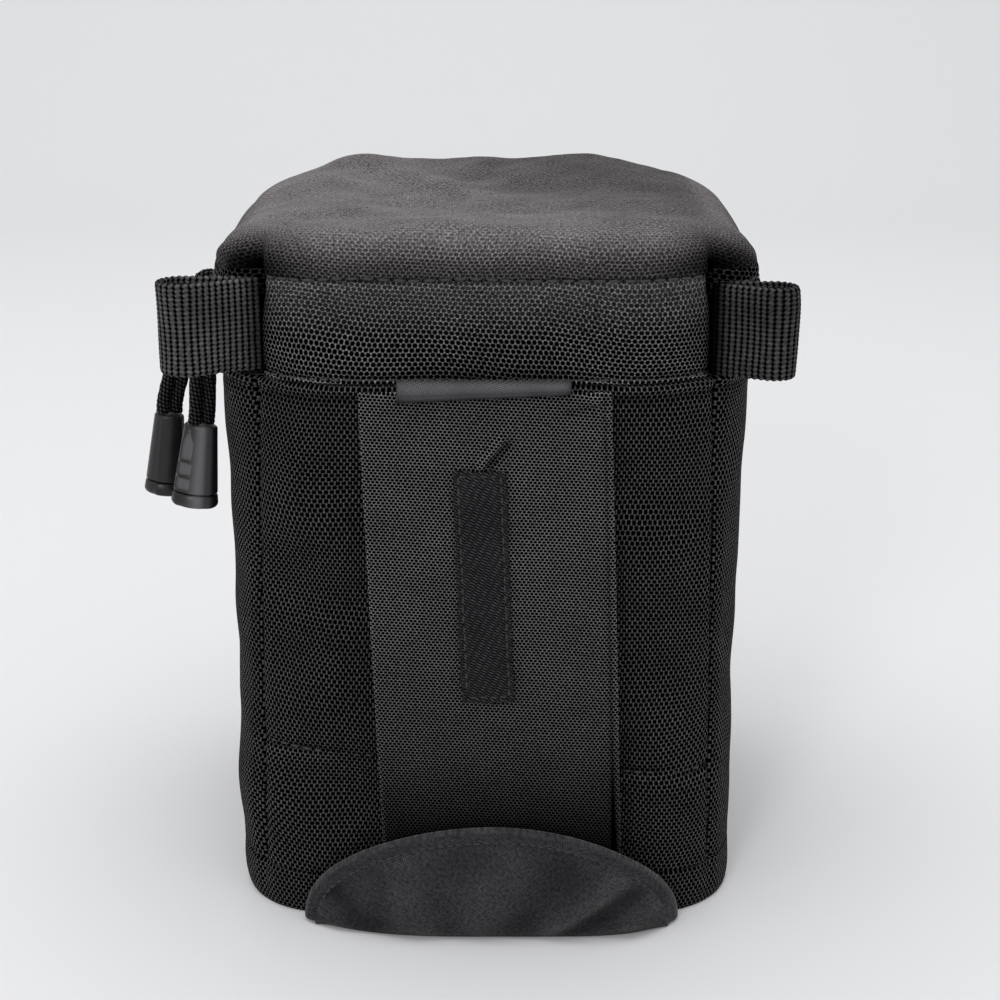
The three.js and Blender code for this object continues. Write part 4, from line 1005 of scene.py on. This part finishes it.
# Rings go up the side, over the rim along a quarter of an ellipse and in across the top.
def makeLidCloth():
    size = lidShape
    s = np.linspace(0, perimeter, 361)[:-1]
    side = np.array([0, 0.04, 0.12, 0.3, 0.65, 1.0])
    turn = np.linspace(0, np.pi / 2, 19)[1:]
    flat = np.linspace(size["edgeDepth"] + 0.8, centreInset, 50)
    low = pouch["foldZ"] - 0.05
    rimStart = pouch["rimZ"] - size["edgeHeight"]
    heights = np.concatenate([low + side * (rimStart - low), rimStart + size["edgeHeight"] * np.sin(turn),
                              np.full_like(flat, pouch["rimZ"])])
    insets = np.concatenate([side * 0, size["edgeDepth"] * (1 - np.cos(turn)), flat])
    down = gone(joined(heights, insets))
    zz, ss = spread(heights, s)
    inset, along = spread(insets, s)[0], spread(down, s)[0]
    x, y = outline(ss, inset, zz)
    tilt = np.clip(inset / size["edgeDepth"], 0, 1)
    lift = lidRise(x, y, inset) * ease(zz, low, rimStart + 4)
    out = (softOut(ss, zz, rearSeams) + humps(zz - low, *size["bulges"])) * (1 - ease(inset, 0, 7))
    # The inner layer follows the outer one, moved in by the cloth's thickness.
    outer, inner = (joined(*outline(ss, inset - out + depth * (1 - tilt), zz),
                           np.maximum(zz + lift - depth * tilt, low)) for depth in (0, pouch["cloth"]))
    # The map is the top seen from above with the four walls folded out flat around it, and it
    # goes on from the band's map over the fold.
    rimAlong = down[len(side) + len(turn) - 1]
    wall, beside = wallAt(ss)
    beyond = np.where(wall % 2 == 0, pouch["halfDepth"], pouch["halfWidth"]) - size["edgeDepth"] + rimAlong - along
    ways = wallWays[wall]
    flatOut = beside[..., None] * ways[..., :2] + beyond[..., None] * ways[..., 2:]
    onTop = np.where(along > rimAlong, 1, 0.999 * ease(inset, 0, size["edgeDepth"]))[..., None]
    cloth = flatOut + (joined(x, y) - flatOut) * onTop
    cloth[..., 1] += low + rimAlong + pouch["halfDepth"] - size["edgeDepth"]
    # The hollows fill in towards the top: partly rubbing, partly a painted sheen for the light the top catches.
    rub = size["rub"][0] + size["rub"][1] * ease(along, 3, 14)
    return makeSheet("lid_cloth", outer, inner, drawnMap(cloth, outer), lidNylon, True, capped=True,
                     rub=rub, wear=lidPaintedLight(ss, x, y, along))


lidCloth = settle(makeLidCloth(), "lid", "lid_cloth", "lid_top", "lid_pad")
print("lid made")

# Linings: inside the walls, over the tops of the foam, on the floor and under the lid.
liningShape = {"inset": 8.9, "thick": 0.7, "floorZ": 9.0, "sideTop": 124.5, "backTop": 142.8, "bend": 3.2,
               "over": (1, 2, 3), "tuck": (0, 6, 3.6), "quilt": (0.35, 22, 13), "flattest": -0.6}


# A wall of lining from the floor up to a top, where it curls outwards over the foam.
def makeLining(name, start, end, top):
    size = liningShape
    bend = size["bend"]
    turn = np.linspace(0, np.pi / 2, 9)[1:]
    upright = np.linspace(size["floorZ"], top - bend, 60)
    heights = np.concatenate([upright, top - bend * (1 - np.sin(turn)), [top] * len(size["over"])])
    insets = size["inset"] - np.concatenate([0 * upright, bend * (1 - np.cos(turn)), bend + np.array(size["over"])])
    zz, ss = spread(heights, np.linspace(start, end, int((end - start) / 1.6)))
    inset = spread(insets, zz[0])[0]
    # Over the foam it is drawn in at the rear corners, as the band outside it is.
    tuck = humps(apartFrom(ss, rearSeams), size["tuck"]) * (top > pouch["seamZ"])
    inset = inset + tuck * (size["inset"] - inset) / (size["inset"] - insets[-1])
    # Pressed out against the foam it stays flat.
    height, length, seed = size["quilt"]
    soft = height * np.maximum(ripple(outlinePoints(ss, inset, zz), length, seed), size["flattest"])
    tilt = np.clip((size["inset"] - inset) / bend, 0, 1)
    inner = outlinePoints(ss, inset + soft, zz)
    outer = joined(*outline(ss, inset - size["thick"] * (1 - tilt) + soft, zz), zz - size["thick"] * tilt)
    cloth = joined(ss, spread(gone(joined(heights, insets)), zz[0])[0])
    return makeSheet(name, inner, outer, cloth, liningCloth)


# A flat disc of lining that follows the outline at an inset, with a stitched and puffed face.
# tuck draws it in at the rear corners, where the lid's cloth dips in above the webbing loops.
def makeLiningDisc(name, z, inset, face, puff, tuck=0.0):
    rings = np.concatenate([inset + np.array([0, 0.15, 0.5, 1.0, 1.8]), np.linspace(inset + 3, centreInset, 26)])
    rr, ss = spread(rings, np.linspace(0, perimeter, 181)[:-1])
    drawn = humps(apartFrom(ss, rearSeams), (0, 7, tuck)) * (1 - ease(rr, inset, inset + 15))
    inner = outlinePoints(ss, rr + drawn, z)
    soft = puff * (ease(rr, inset, inset + 6) + 0.25 * ripple(inner, 18, 41))
    outer = inner.copy()
    outer[..., 2] += face * (soft + 0.4 * ease(rr, inset, inset + 0.6))
    return makeSheet(name, outer, inner, inner[..., :2], liningCloth, True, capped=True)


settle(makeLining("lining_front", rearRight + gap, perimeter - rearRight - gap, liningShape["sideTop"]), "pouch",
       "lining", "body_lining")
settle(makeLining("lining_back", -rearRight + gap, rearRight - gap, liningShape["backTop"]), "pouch", "lining")
settle(makeLiningDisc("lining_floor", 8.8, 9.0, 1, 0.8), "pouch", "lining")
lidUnder = makeLiningDisc("lining_lid", boxOf("lid_lining")[1][2] - 0.1, 1.7, -1, 0.35, 4.0)
settle(lidUnder, "lid", "lining", "lid_lining")
print("linings made")

# Webbing loops: a strip out from the corner seam, round its end and back.
webbing = {
    "width": 19.0, "thick": 1.5, "rootOut": -0.9, "rootSpread": 1.7,
    "rib": 1.35, "lump": 0.93, "relief": 0.22, "lumpShare": 0.45, "edge": (0.55, 0.9),
    "sway": (0.35, 16), "swayFrom": 6, "edgeSway": 0.12, "rootPaintedShade": (0.65, 0.4, 5),
}
loops = {
    "left": {"side": -1, "reach": 18.4, "end": 4.6, "drop": 2.8, "fromFold": 1.5, "wear": 0.0, "seed": 3},
    "right": {"side": 1, "reach": 15.4, "end": 4.0, "drop": 2.4, "fromFold": 2.6, "wear": -0.35, "seed": 8},
}


# Values given at the points of a line, read at distances along it.
def readAt(places, line, values):
    return joined(*(np.interp(places, gone(line), column) for column in values.T))


# The strip's middle line in plan, from the near root round the end to the far root, with normals.
def loopLine(loop):
    side = loop["side"]
    out = np.array([side, -1]) / np.sqrt(2)
    along = np.array([-side * out[1], side * out[0]])
    seam = np.array([side * spanX, -spanY]) + out * pouch["corner"]
    end = seam + np.array([side * (loop["reach"] - loop["end"]), -loop["drop"]])
    roots, turns = [], []
    for way in (-1, 1):
        root = seam + out * webbing["rootOut"] + along * way * webbing["rootSpread"] / 2
        away = root - end
        roots.append(root)
        turns.append(np.arctan2(away[1], away[0]) - side * way * np.arccos(loop["end"] / np.hypot(*away)))
    sweep = np.mod((turns[1] - turns[0]) * side, 2 * np.pi) * side
    bend = turns[0] + sweep * np.linspace(0, 1, 40)
    line = np.concatenate([[roots[0]], end + loop["end"] * joined(np.cos(bend), np.sin(bend)), [roots[1]]])
    places = np.arange(0, gone(line)[-1], webbing["rib"] / 5)
    points = readAt(places, line, line)
    ways = unit(np.gradient(points, axis=0))
    return points, joined(-ways[:, 1], ways[:, 0]) * side, places


# The strip's ribs follow the size of a sine along it, and its lumps that of a cosine across it.
def makeLoop(side, loop):
    size = webbing
    points, normals, places = loopLine(loop)
    length = places[-1]
    top = pouch["foldZ"] - loop["fromFold"]
    zz, uu = spread(np.linspace(top - size["width"], top, 92), places)
    fromLow = zz - zz[0, 0]
    ribs = np.abs(np.sin(np.pi * uu / size["rib"]))
    lumps = np.abs(np.cos(np.pi * zz / size["lump"]))
    relief = size["relief"] * (ribs * (1 - size["lumpShare"] * (1 - lumps)) - 0.5)
    half = size["thick"] / 2 - edgeDrop(np.minimum(fromLow, top - zz), *size["edge"])
    height, wave = size["sway"]
    sway = height * ripple(joined(uu, zz, 0), wave, loop["seed"])
    sway = sway * ease(uu, 0, size["swayFrom"]) * ease(length - uu, 0, size["swayFrom"])
    edgeSway = size["edgeSway"] * np.sin(uu * 2 * np.pi / size["rib"]) * (2 * fromLow / size["width"] - 1)
    outer, inner = (np.concatenate([points + normals * ((half + relief) * way + sway)[..., None],
                                    (zz + edgeSway)[..., None]], -1) for way in (1, -1))
    # Painted shade near both roots and over the whole right loop.
    dark, low, high = size["rootPaintedShade"]
    wear = loop["wear"] - dark * (1 - ease(np.minimum(uu, length - uu), low, high))
    strip = makeSheet(f"strip_{side}", outer, inner, joined(uu, zz), webbingNylon, wear=wear)
    settle(strip, "pouch", "webbing", f"webbing_loop_{side}")


for side, loop in loops.items():
    makeLoop(side, loop)
print("webbing made")

# Belt strap: sewn on at its top, coming off the wall in a curve towards its foot.
strap = {
    "width": 51.5, "footWidth": 46.0, "taper": 16.0, "top": 121.0, "foot": 3.2, "lean": 4.2, "topX": -0.2,
    "topStand": 3.2, "footStand": 7.6, "power": 4, "thick": 2.25, "backing": 0.6, "apart": 0.05, "margin": 0.3,
    "wave": (0.35, 30, 17), "waveFrom": (0, 12), "softFrom": (5, 30),
    "hem": 0.35, "hemAt": 1.6, "hemEnd": (70, 100), "wear": 0.14, "lowPaintedShade": [(10, 90, 0.55), (20, 50, 0.5)],
    "creases": [((-0.8, 106.5), (3.2, 111.6), 0.9, 1.1), ((0.6, 106.0), (4.4, 110.6), 0.9, -1.3),
                ((16.5, 117.0), (24.4, 118.6), 0.6, -0.7), ((21.0, 121.0), (24.8, 116.8), 1.0, 0.7)],
}


# How far down the strap a height is, as a share.
def strapDown(z):
    return np.clip((strap["top"] - z) / (strap["top"] - strap["foot"]), 0, 1)


# The strap leans: its middle moves evenly to the right on the way down.
def strapMiddle(z):
    return strap["topX"] + strap["lean"] * strapDown(z)


# Half its width, which narrows along a quarter of a sine wave near the foot.
def strapHalf(z):
    share = np.clip((z - strap["foot"]) / strap["taper"], 0, 1)
    return (strap["footWidth"] + (strap["width"] - strap["footWidth"]) * np.sin(share * np.pi / 2)) / 2


# Distance of the strap's outer face from the middle plane, with its soft waves and creases.
def strapFace(x, z):
    stand = strap["topStand"] + (strap["footStand"] - strap["topStand"]) * (1 - (1 - strapDown(z)) ** strap["power"])
    height, length, seed = strap["wave"]
    soft = height * ripple(joined(x, 0, z), length, seed) * ease(strap["top"] - z, *strap["waveFrom"])
    soft = soft + ridges(x, z, strap["creases"])
    return pouch["halfDepth"] + stand + soft * ease(z, *strap["softFrom"])


# A layer of the strap between two depths behind its outer face.
def makeStrapLayer(name, outerDepth, innerDepth, hem=0.0, margin=0.0):
    z = spaced(strap["foot"] + margin, strap["top"] - margin, 0.9)
    ends = np.array([0.955, 0.97, 0.985, 0.996, 1])
    zz, tt = spread(z, np.concatenate([-ends[::-1], np.linspace(-0.94, 0.94, 76), ends]))
    half = strapHalf(zz) - margin
    x = strapMiddle(zz) + tt * half
    fromEdge = np.minimum(half * (1 - np.abs(tt)), np.minimum(zz - z[0], z[-1] - zz))
    fromHem = half * (1 - tt) - strap["hemAt"]
    thick = innerDepth - outerDepth
    drop = edgeDrop(fromEdge, thick * 0.45, min(1.3, thick))
    face = strapFace(x, zz)
    # The seam line inside the right edge, where the cloth is folded in.
    line = hem * hump(fromHem, 0.45) * (1 - ease(zz, *strap["hemEnd"]))
    outer = joined(x, -(face - outerDepth - drop - line), zz)
    inner = joined(x, -(face - innerDepth + drop), zz)
    # Painted shade towards the foot and in the seam line; painted highlights along the edges and on the raised
    # creases, painted shade in the sunken ones.
    wear = strap["wear"] - sum(dark * (1 - ease(zz, low, high)) for low, high, dark in strap["lowPaintedShade"])
    wear = wear + 0.5 * hump(fromEdge, 0.45) - 0.5 * (hem > 0) * hump(fromHem, 0.4)
    wear = wear + 0.45 * ridges(x, zz, strap["creases"])
    return makeSheet(name, outer, inner, joined(x, zz), strapNylon, wear=wear)


strapFront = makeStrapLayer("strap_front", 0.0, strap["thick"], hem=strap["hem"])
settle(strapFront, "belt_strap", "strap_cloth", "strap_face", "strap_stiffener")
backingAt = strap["thick"] + strap["apart"]
strapBack = makeStrapLayer("strap_back", backingAt, backingAt + strap["backing"], margin=strap["margin"])
settle(strapBack, "belt_strap", "strap_cloth", "strap_backing")


# Label: a tape sewn flat on the strap, puffed between its edge and its stitches.
label = {
    "width": 11.0, "shift": -1.7, "low": 55.4, "high": 105.4, "thick": 0.5, "stand": 0.35, "wander": 0.18,
    "sides": 4.5, "ends": 24, "stitchAt": 1.1, "puff": [(1.1, 0.4, -0.35), (0.4, 0.4, 0.2), (2.0, 0.5, 0.2)],
}


# Its edges wander a little: x is the place across and z the height, each moved near its own edges.
def makeLabel():
    size = label
    half, middle = size["width"] / 2, (size["low"] + size["high"]) / 2
    zz, tt = spread(spaced(size["low"], size["high"], 0.7, 0.5), spaced(-half, half, 0.5, 0.5))
    sides = np.sign(tt) * (np.abs(tt) > size["sides"])
    x = strapMiddle(zz) + size["shift"] + tt + size["wander"] * ripple(joined(tt * 0.3, 0, zz), 7, 52) * sides
    z = zz + size["wander"] * ripple(joined(tt, 0, 0), 5, 53) * (np.abs(zz - middle) > size["ends"])
    fromEdge = np.minimum(half - np.abs(tt), np.minimum(zz - size["low"], size["high"] - zz))
    out = size["stand"] + size["thick"] - edgeDrop(fromEdge, 0.2, 0.5) + humps(fromEdge, *size["puff"])
    face = strapFace(x, z) + out + 0.1 * ripple(joined(x, 0, zz), 5, 54)
    return makeSheet("label_tape", joined(x, -face, z), joined(x, size["thick"] - face, z), joined(x, z), labelSatin)


labelTape = settle(makeLabel(), "belt_strap", "label_cloth", "label_patch")

# Grey tape folded over the strap's top edge: a flattened roll, its free edge higher at the right.
grip = {
    "low": (119.4, 121.1), "high": 124.0, "left": -17.9, "right": 17.2, "out": 1.9, "off": 0.9, "faceZ": 118.0,
    "crease": (0.3, 0.08, 0.3), "wear": [(0.68, 0.2, 0.35), (0.04, 0.2, -0.95)], "endDarker": 0.4,
}


# The roll follows half an ellipse from its low edge to its high one, with a crease along it.
def makeGreyTape():
    size = grip
    tt, xx = spread(np.linspace(0, 1, 22), spaced(size["left"], size["right"], 0.8))
    low = np.interp(xx, [size["left"], size["right"]], size["low"])
    z = low + (size["high"] - low) * tt
    place = joined(xx, 0, z)
    fromEnd = np.minimum(xx - xx[0, 0], xx[0, -1] - xx)
    out = size["out"] * np.sqrt(np.clip(1 - (2 * tt - 1) ** 2, 0.02, 1)) + 0.1 * ripple(place, 6, 61)
    out = out * (1 - edgeDrop(fromEnd, 0.5, 0.9)) + size["off"] - humps(tt, size["crease"])
    face = strapFace(xx, size["faceZ"])
    outer = joined(xx, -(face + np.maximum(out, size["off"] + 0.2)), z)
    inner = joined(xx, -(face + size["off"] - 0.5), z)
    # A painted highlight along the roll's upper part and a painted shadow line along its free lower edge; darker
    # towards its ends, with faint uneven tone.
    wear = humps(tt, *size["wear"]) - size["endDarker"] * (1 - ease(fromEnd, 0.4, 1.6)) + 0.15 * ripple(place, 5, 62)
    return makeSheet("grey_tape_fold", outer, inner, joined(xx, z), greyTape, wear=wear)


tapeFold = settle(makeGreyTape(), "belt_strap", "grey_tape", "grip_tape")
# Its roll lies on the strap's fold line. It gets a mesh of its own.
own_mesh(tapeFold)
print("strap made")

# Half-moon end of the strap, folded up at the floor: a soft face with a bound edge along its arc.
halfMoon = {
    "half": 41.6, "height": 26.4, "centre": 1.0, "floor": 0.3, "tip": 1.3, "wrap": 8.0, "powers": (3.2, 5.5),
    "thick": 1.6, "binding": 3.0, "overlap": 0.5, "proud": 0.35, "under": (1.8, 3.2),
    "puff": 0.7, "swell": 0.6, "wave": (0.4, 14, 71), "edgeWave": (0.12, 6, 77), "wear": 0.36,
    "folds": [((-27, 2), (-33, 9), 3.2, -1.2), ((13, 1), (29, 15), 2.4, 1.5), ((16, 0), (32, 10), 2.6, -1.35),
              ((6, 3), (17, 17), 4.0, -0.9), ((-14, 1), (-18, 16), 5.0, 0.9), ((-24, 3), (-22, 14), 3.0, -0.75),
              ((-2, 5), (4, 21), 5.0, 0.9), ((31, 3), (36, 8), 2.5, 0.9)],
}


# Distance of the half-moon's back from the middle plane: flat in front, turning in at its tips.
def moonBack(x):
    size = halfMoon
    share = np.clip(np.abs(x - size["centre"]) / size["half"], 0, 1)
    power = np.where(x < size["centre"], *size["powers"])
    return pouch["halfDepth"] + size["tip"] + size["wrap"] * (1 - share ** power)


# Places across and up on an arc: so far outside the face's own edge, at an angle from the left tip.
def moonArc(turn, width):
    size = halfMoon
    return (size["centre"] - (size["half"] - size["binding"] + width) * np.cos(turn),
            (size["height"] - size["binding"] + width) * np.sin(turn))


# The face is puffed by a power of half a sine wave from the floor to its arc.
def makeMoonFace():
    size = halfMoon
    uu, tt = spread(spaced(0, 1, 0.03, 0.12), np.linspace(0.05, np.pi - 0.05, 150))
    x, h = moonArc(tt, size["overlap"])
    h = h * uu
    upright = np.sin(tt)
    spanHalf = size["half"] - size["binding"] + size["overlap"]
    swell = sample(moonSheet, (x - size["centre"] + spanHalf) / (2 * spanHalf), uu)
    puff = size["puff"] * np.sin(np.pi * np.clip(uu, 0, 1)) ** 0.7 * ease(upright, 0, 0.6)
    puff = puff + size["swell"] * swell * ease(upright, 0, 0.5)
    height, length, seed = size["wave"]
    soft = height * ripple(joined(x, 0, h), length, seed) + ridges(x, h, size["folds"])
    under = edgeDrop(h, *size["under"]) * ease(upright, 0.1, 0.6)
    out = size["thick"] + puff + soft * ease(uu, 0.02, 0.25) * (1 - ease(uu, 0.85, 1)) - under
    out = out - humps(uu, (1, 0.05, size["proud"]))
    back = moonBack(x)
    outer = joined(x, -(back + np.maximum(out, 0.5)), size["floor"] + h)
    inner = joined(x, -back, size["floor"] + h)
    # The folds are shaded in the cloth's colour: painted highlights where they rise and painted shade where they
    # sink.
    return makeSheet("half_moon", outer, inner, joined(x, h), flapCloth, rub=0.15 + 0.2 * ease(uu, 0, 0.6),
                     wear=size["wear"] * np.clip(soft, -1.2, 1.2))


# The binding: a strip along the arc outside the face's own edge.
def makeMoonEdge():
    size = halfMoon
    aa, tt = spread(np.linspace(0, 1, 12), np.linspace(0.02, np.pi - 0.02, 170))
    width = size["binding"] * aa
    x, h = moonArc(tt, width)
    across = 2 * aa - 1
    rounded = np.sqrt(np.clip(1 - across ** 4, 0, 1))
    height, length, seed = size["edgeWave"]
    out = (size["thick"] + size["proud"]) * (0.35 + 0.65 * rounded)
    out = out + height * ripple(joined(x, 0, h), length, seed) - 0.6 * edgeDrop(h, *size["under"])
    back = moonBack(x)
    outer = joined(x, -(back + np.maximum(out, 0.2)), size["floor"] + h)
    inner = joined(x, -back, size["floor"] + h)
    return makeSheet("half_moon_binding", outer, inner, joined(tt * 33, width), flapCloth,
                     rub=0.25 + 0.75 * ease(np.abs(across), 0.5, 0.95))


moonFace = settle(makeMoonFace(), "end_flap", "flap_cloth", "end_flap_face")
settle(makeMoonEdge(), "end_flap", "flap_cloth", "end_flap_binding")
print("half-moon made")

# Stitches: short threads laid end to end along a line, each a capsule that sinks in at its ends.
stitchShape = {"length": 2.2, "pitch": 2.8, "width": 0.55, "height": 0.5}


# A unit capsule along x: rings of 8 points between its two ends.
def unitStitch():
    bend, turn = spread(np.linspace(-1, 1, 7), np.linspace(0, 2 * np.pi, 9)[:-1])
    size = np.sqrt(np.clip(1 - np.abs(bend) ** 3, 0.08, 1)) / 2
    rings = joined(bend / 2, size * np.cos(turn), size * np.sin(turn) - 0.5 * bend ** 2)
    faces = np.concatenate([gridFaces(7, 8, True), capFaces(8, 0)[:, ::-1], capFaces(8, 48)])
    return rings.reshape(-1, 3), faces


# One mesh of stitches along a line of points with outward normals, all in mm.
def makeStitches(name, line, normals, body, slot, scale, seed):
    size = {key: value * scale for key, value in stitchShape.items()}
    starts = np.arange(0.5, gone(line)[-1] - size["length"] - 0.5, size["pitch"])
    random = np.random.default_rng(seed)
    starts = starts + random.uniform(-0.15, 0.15, len(starts)) * scale
    a, b = (readAt(starts + length, line, line) for length in (0, size["length"]))
    up = unit(readAt(starts + size["length"] / 2, line, normals))
    way = unit(b - a)
    side = np.cross(up, way)
    middle = (a + b) / 2 + side * random.uniform(-0.08, 0.08, (len(a), 1))
    capsule, faces = unitStitch()
    points = middle[:, None] + sum(
        capsule[None, :, i:i + 1] * size[key] * ways[:, None]
        for i, (key, ways) in enumerate((("length", way), ("width", side), ("height", up))))
    every = (faces[None] + (np.arange(len(a)) * len(capsule))[:, None, None]).reshape(-1, 4)
    return settle(makePiece(name, points.reshape(-1, 3), every, sewingThread), body, slot)


# Points and outward normals on the shell at places round it and heights.
def shellLine(s, z, extra, lift):
    s, z = np.broadcast_arrays(np.asarray(s, float), np.asarray(z, float))
    inset = footInset(z) - softOut(s, z) - extra(s, z) - lift
    points = outlinePoints(s, inset, z)
    return points, outlinePoints(s, inset - 1, z) - points


reach = rearRight - 1.5
backS = np.linspace(-reach, reach, 300)
roundS = np.linspace(rearRight + 1.5, perimeter - rearRight - 1.5, 900)
foldWander = 0.25 * ripple(joined(backS, 0, 0), 20, 81)
# Name, body, places, heights, what is added to the shell there, lift, scale and seed.
lines = [
    ("stitches_fold", "pouch", backS, pouch["foldZ"] - 0.55 + foldWander, backBandOut, 0.22, 1.1, 2),
    ("stitches_band", "pouch", backS, pouch["seamZ"] + bandShape["hem"], backBandOut, 0.15, 0.85, 3),
    ("stitches_panel", "pouch", backS, pouch["seamZ"] - 2.5 + 0.15 * foldWander, backExtra, 0.15, 0.85, 4),
    ("stitches_lower", "pouch", backS, lowerLine(backS), backExtra, 0.2, 1.0, 5),
    ("stitches_zip_below", "pouch", roundS, bandHigh[2] - bandShape["zipHem"], zipBandOut, 0.05, 0.9, 6),
    ("stitches_zip_above", "lid", roundS, skirtLow[2] + bandShape["zipHem"], skirtOut, 0.05, 0.9, 12),
]
for name, body, s, z, extra, lift, scale, seed in lines:
    makeStitches(name, *shellLine(s, z, extra, lift), body, "pack_cloth", scale, seed)


# Stitches on the belt side, where every normal is -Y.
def frontStitches(name, x, y, z, *settings):
    makeStitches(name, joined(x, y, z), np.tile([0.0, -1.0, 0.0], (len(x), 1)), *settings)


# Round the label, just inside its edge.
def makeLabelStitches():
    inside = label["stitchAt"]
    half, low, high = label["width"] / 2 - inside, label["low"] + inside, label["high"] - inside
    t = np.linspace(0, 4, 500)
    z = np.interp(t, range(5), (low, low, high, high, low))
    x = strapMiddle(z) + label["shift"] + np.interp(t, range(5), (-half, half, half, -half, -half))
    y = -(strapFace(x, z) + 0.3 + label["thick"] - 0.12)
    frontStitches("stitches_label", x, y, z, "belt_strap", "label_cloth", 0.75, 21)


# Just inside the half-moon's binding.
def makeMoonStitches():
    x, h = moonArc(np.linspace(0.12, np.pi - 0.12, 300), 0.1)
    y = -(moonBack(x) + halfMoon["thick"] + 0.15)
    frontStitches("stitches_half_moon", x, y, halfMoon["floor"] + h, "end_flap", "flap_cloth", 0.7, 22)


makeLabelStitches()
makeMoonStitches()
print("stitches made")

# Stage: a pale sweep that curves up behind, a soft light above and a weaker one in front. In metres.
stageSettings = {"colour": "#dfdfe0", "front": -6, "bend": 0.9, "radius": 0.6, "height": 2.2, "half": 6}


# The sweep is flat, turns up along a quarter of a circle and goes on upright.
def makeStage():
    size = stageSettings
    turn = np.linspace(0, np.pi / 2, 17)
    top = size["bend"] + size["radius"]
    y = np.concatenate([[size["front"]], size["bend"] + size["radius"] * np.sin(turn), [top]])
    z = np.concatenate([[0], size["radius"] * (1 - np.cos(turn)), [size["height"]]])
    yy, xx = spread(y, np.array([-size["half"], size["half"]]))
    points = joined(xx, yy, z[:, None]).reshape(-1, 3)
    mesh = bpy.data.meshes.new("backdrop")
    mesh.from_pydata(points.tolist(), [], gridFaces(len(y), 2).tolist())
    mesh.polygons.foreach_set("use_smooth", np.ones(len(mesh.polygons), bool))
    # Matt background paper, pale grey.
    mesh.materials.append(startMaterial("background_paper", {
        "Base Color": toLinear(size["colour"]), "Roughness": 0.9, "Specular IOR Level": 0.2})[0])
    sweep = bpy.data.objects.new("backdrop", mesh)
    scene.collection.objects.link(sweep)


# A round area light that looks at its target.
def makeLight(name, place, target, size, power):
    data = bpy.data.lights.new(name, "AREA")
    data.shape, data.size, data.energy = "DISK", size, power
    light = bpy.data.objects.new(name, data)
    light.location = place
    light.rotation_euler = (Vector(target) - Vector(place)).to_track_quat("-Z", "Y").to_euler()
    scene.collection.objects.link(light)


worldSettings = {"Color": (0.94, 0.95, 0.97, 1), "Strength": 0.74}
makeStage()
makeLight("key", (-0.1, 0.05, 1.5), (0, 0, 0.1), 1.8, 13)
makeLight("window", (-0.45, -1.25, 0.7), (0, 0, 0.08), 0.35, 4.5)
world = bpy.data.worlds.new("studio")
world.use_nodes = True
for key, value in worldSettings.items():
    world.node_tree.nodes["Background"].inputs[key].default_value = value
scene.world = world
scene.view_settings.view_transform = "Standard"
print("stage and lights made")

# CAD nodes that keep their own shape take a finish of their own.
nodeFinishes = {
    "zip_teeth_lower": toothPlastic, "zip_teeth_upper": toothPlastic, "hook_patch": toothPlastic,
    "zip_slider_rear": enamelZinc, "zip_slider_front": enamelZinc, "loop_patch": loopPile,
}
for node, finish in nodeFinishes.items():
    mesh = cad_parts[node].data
    mesh.materials.clear()
    mesh.materials.append(finish)
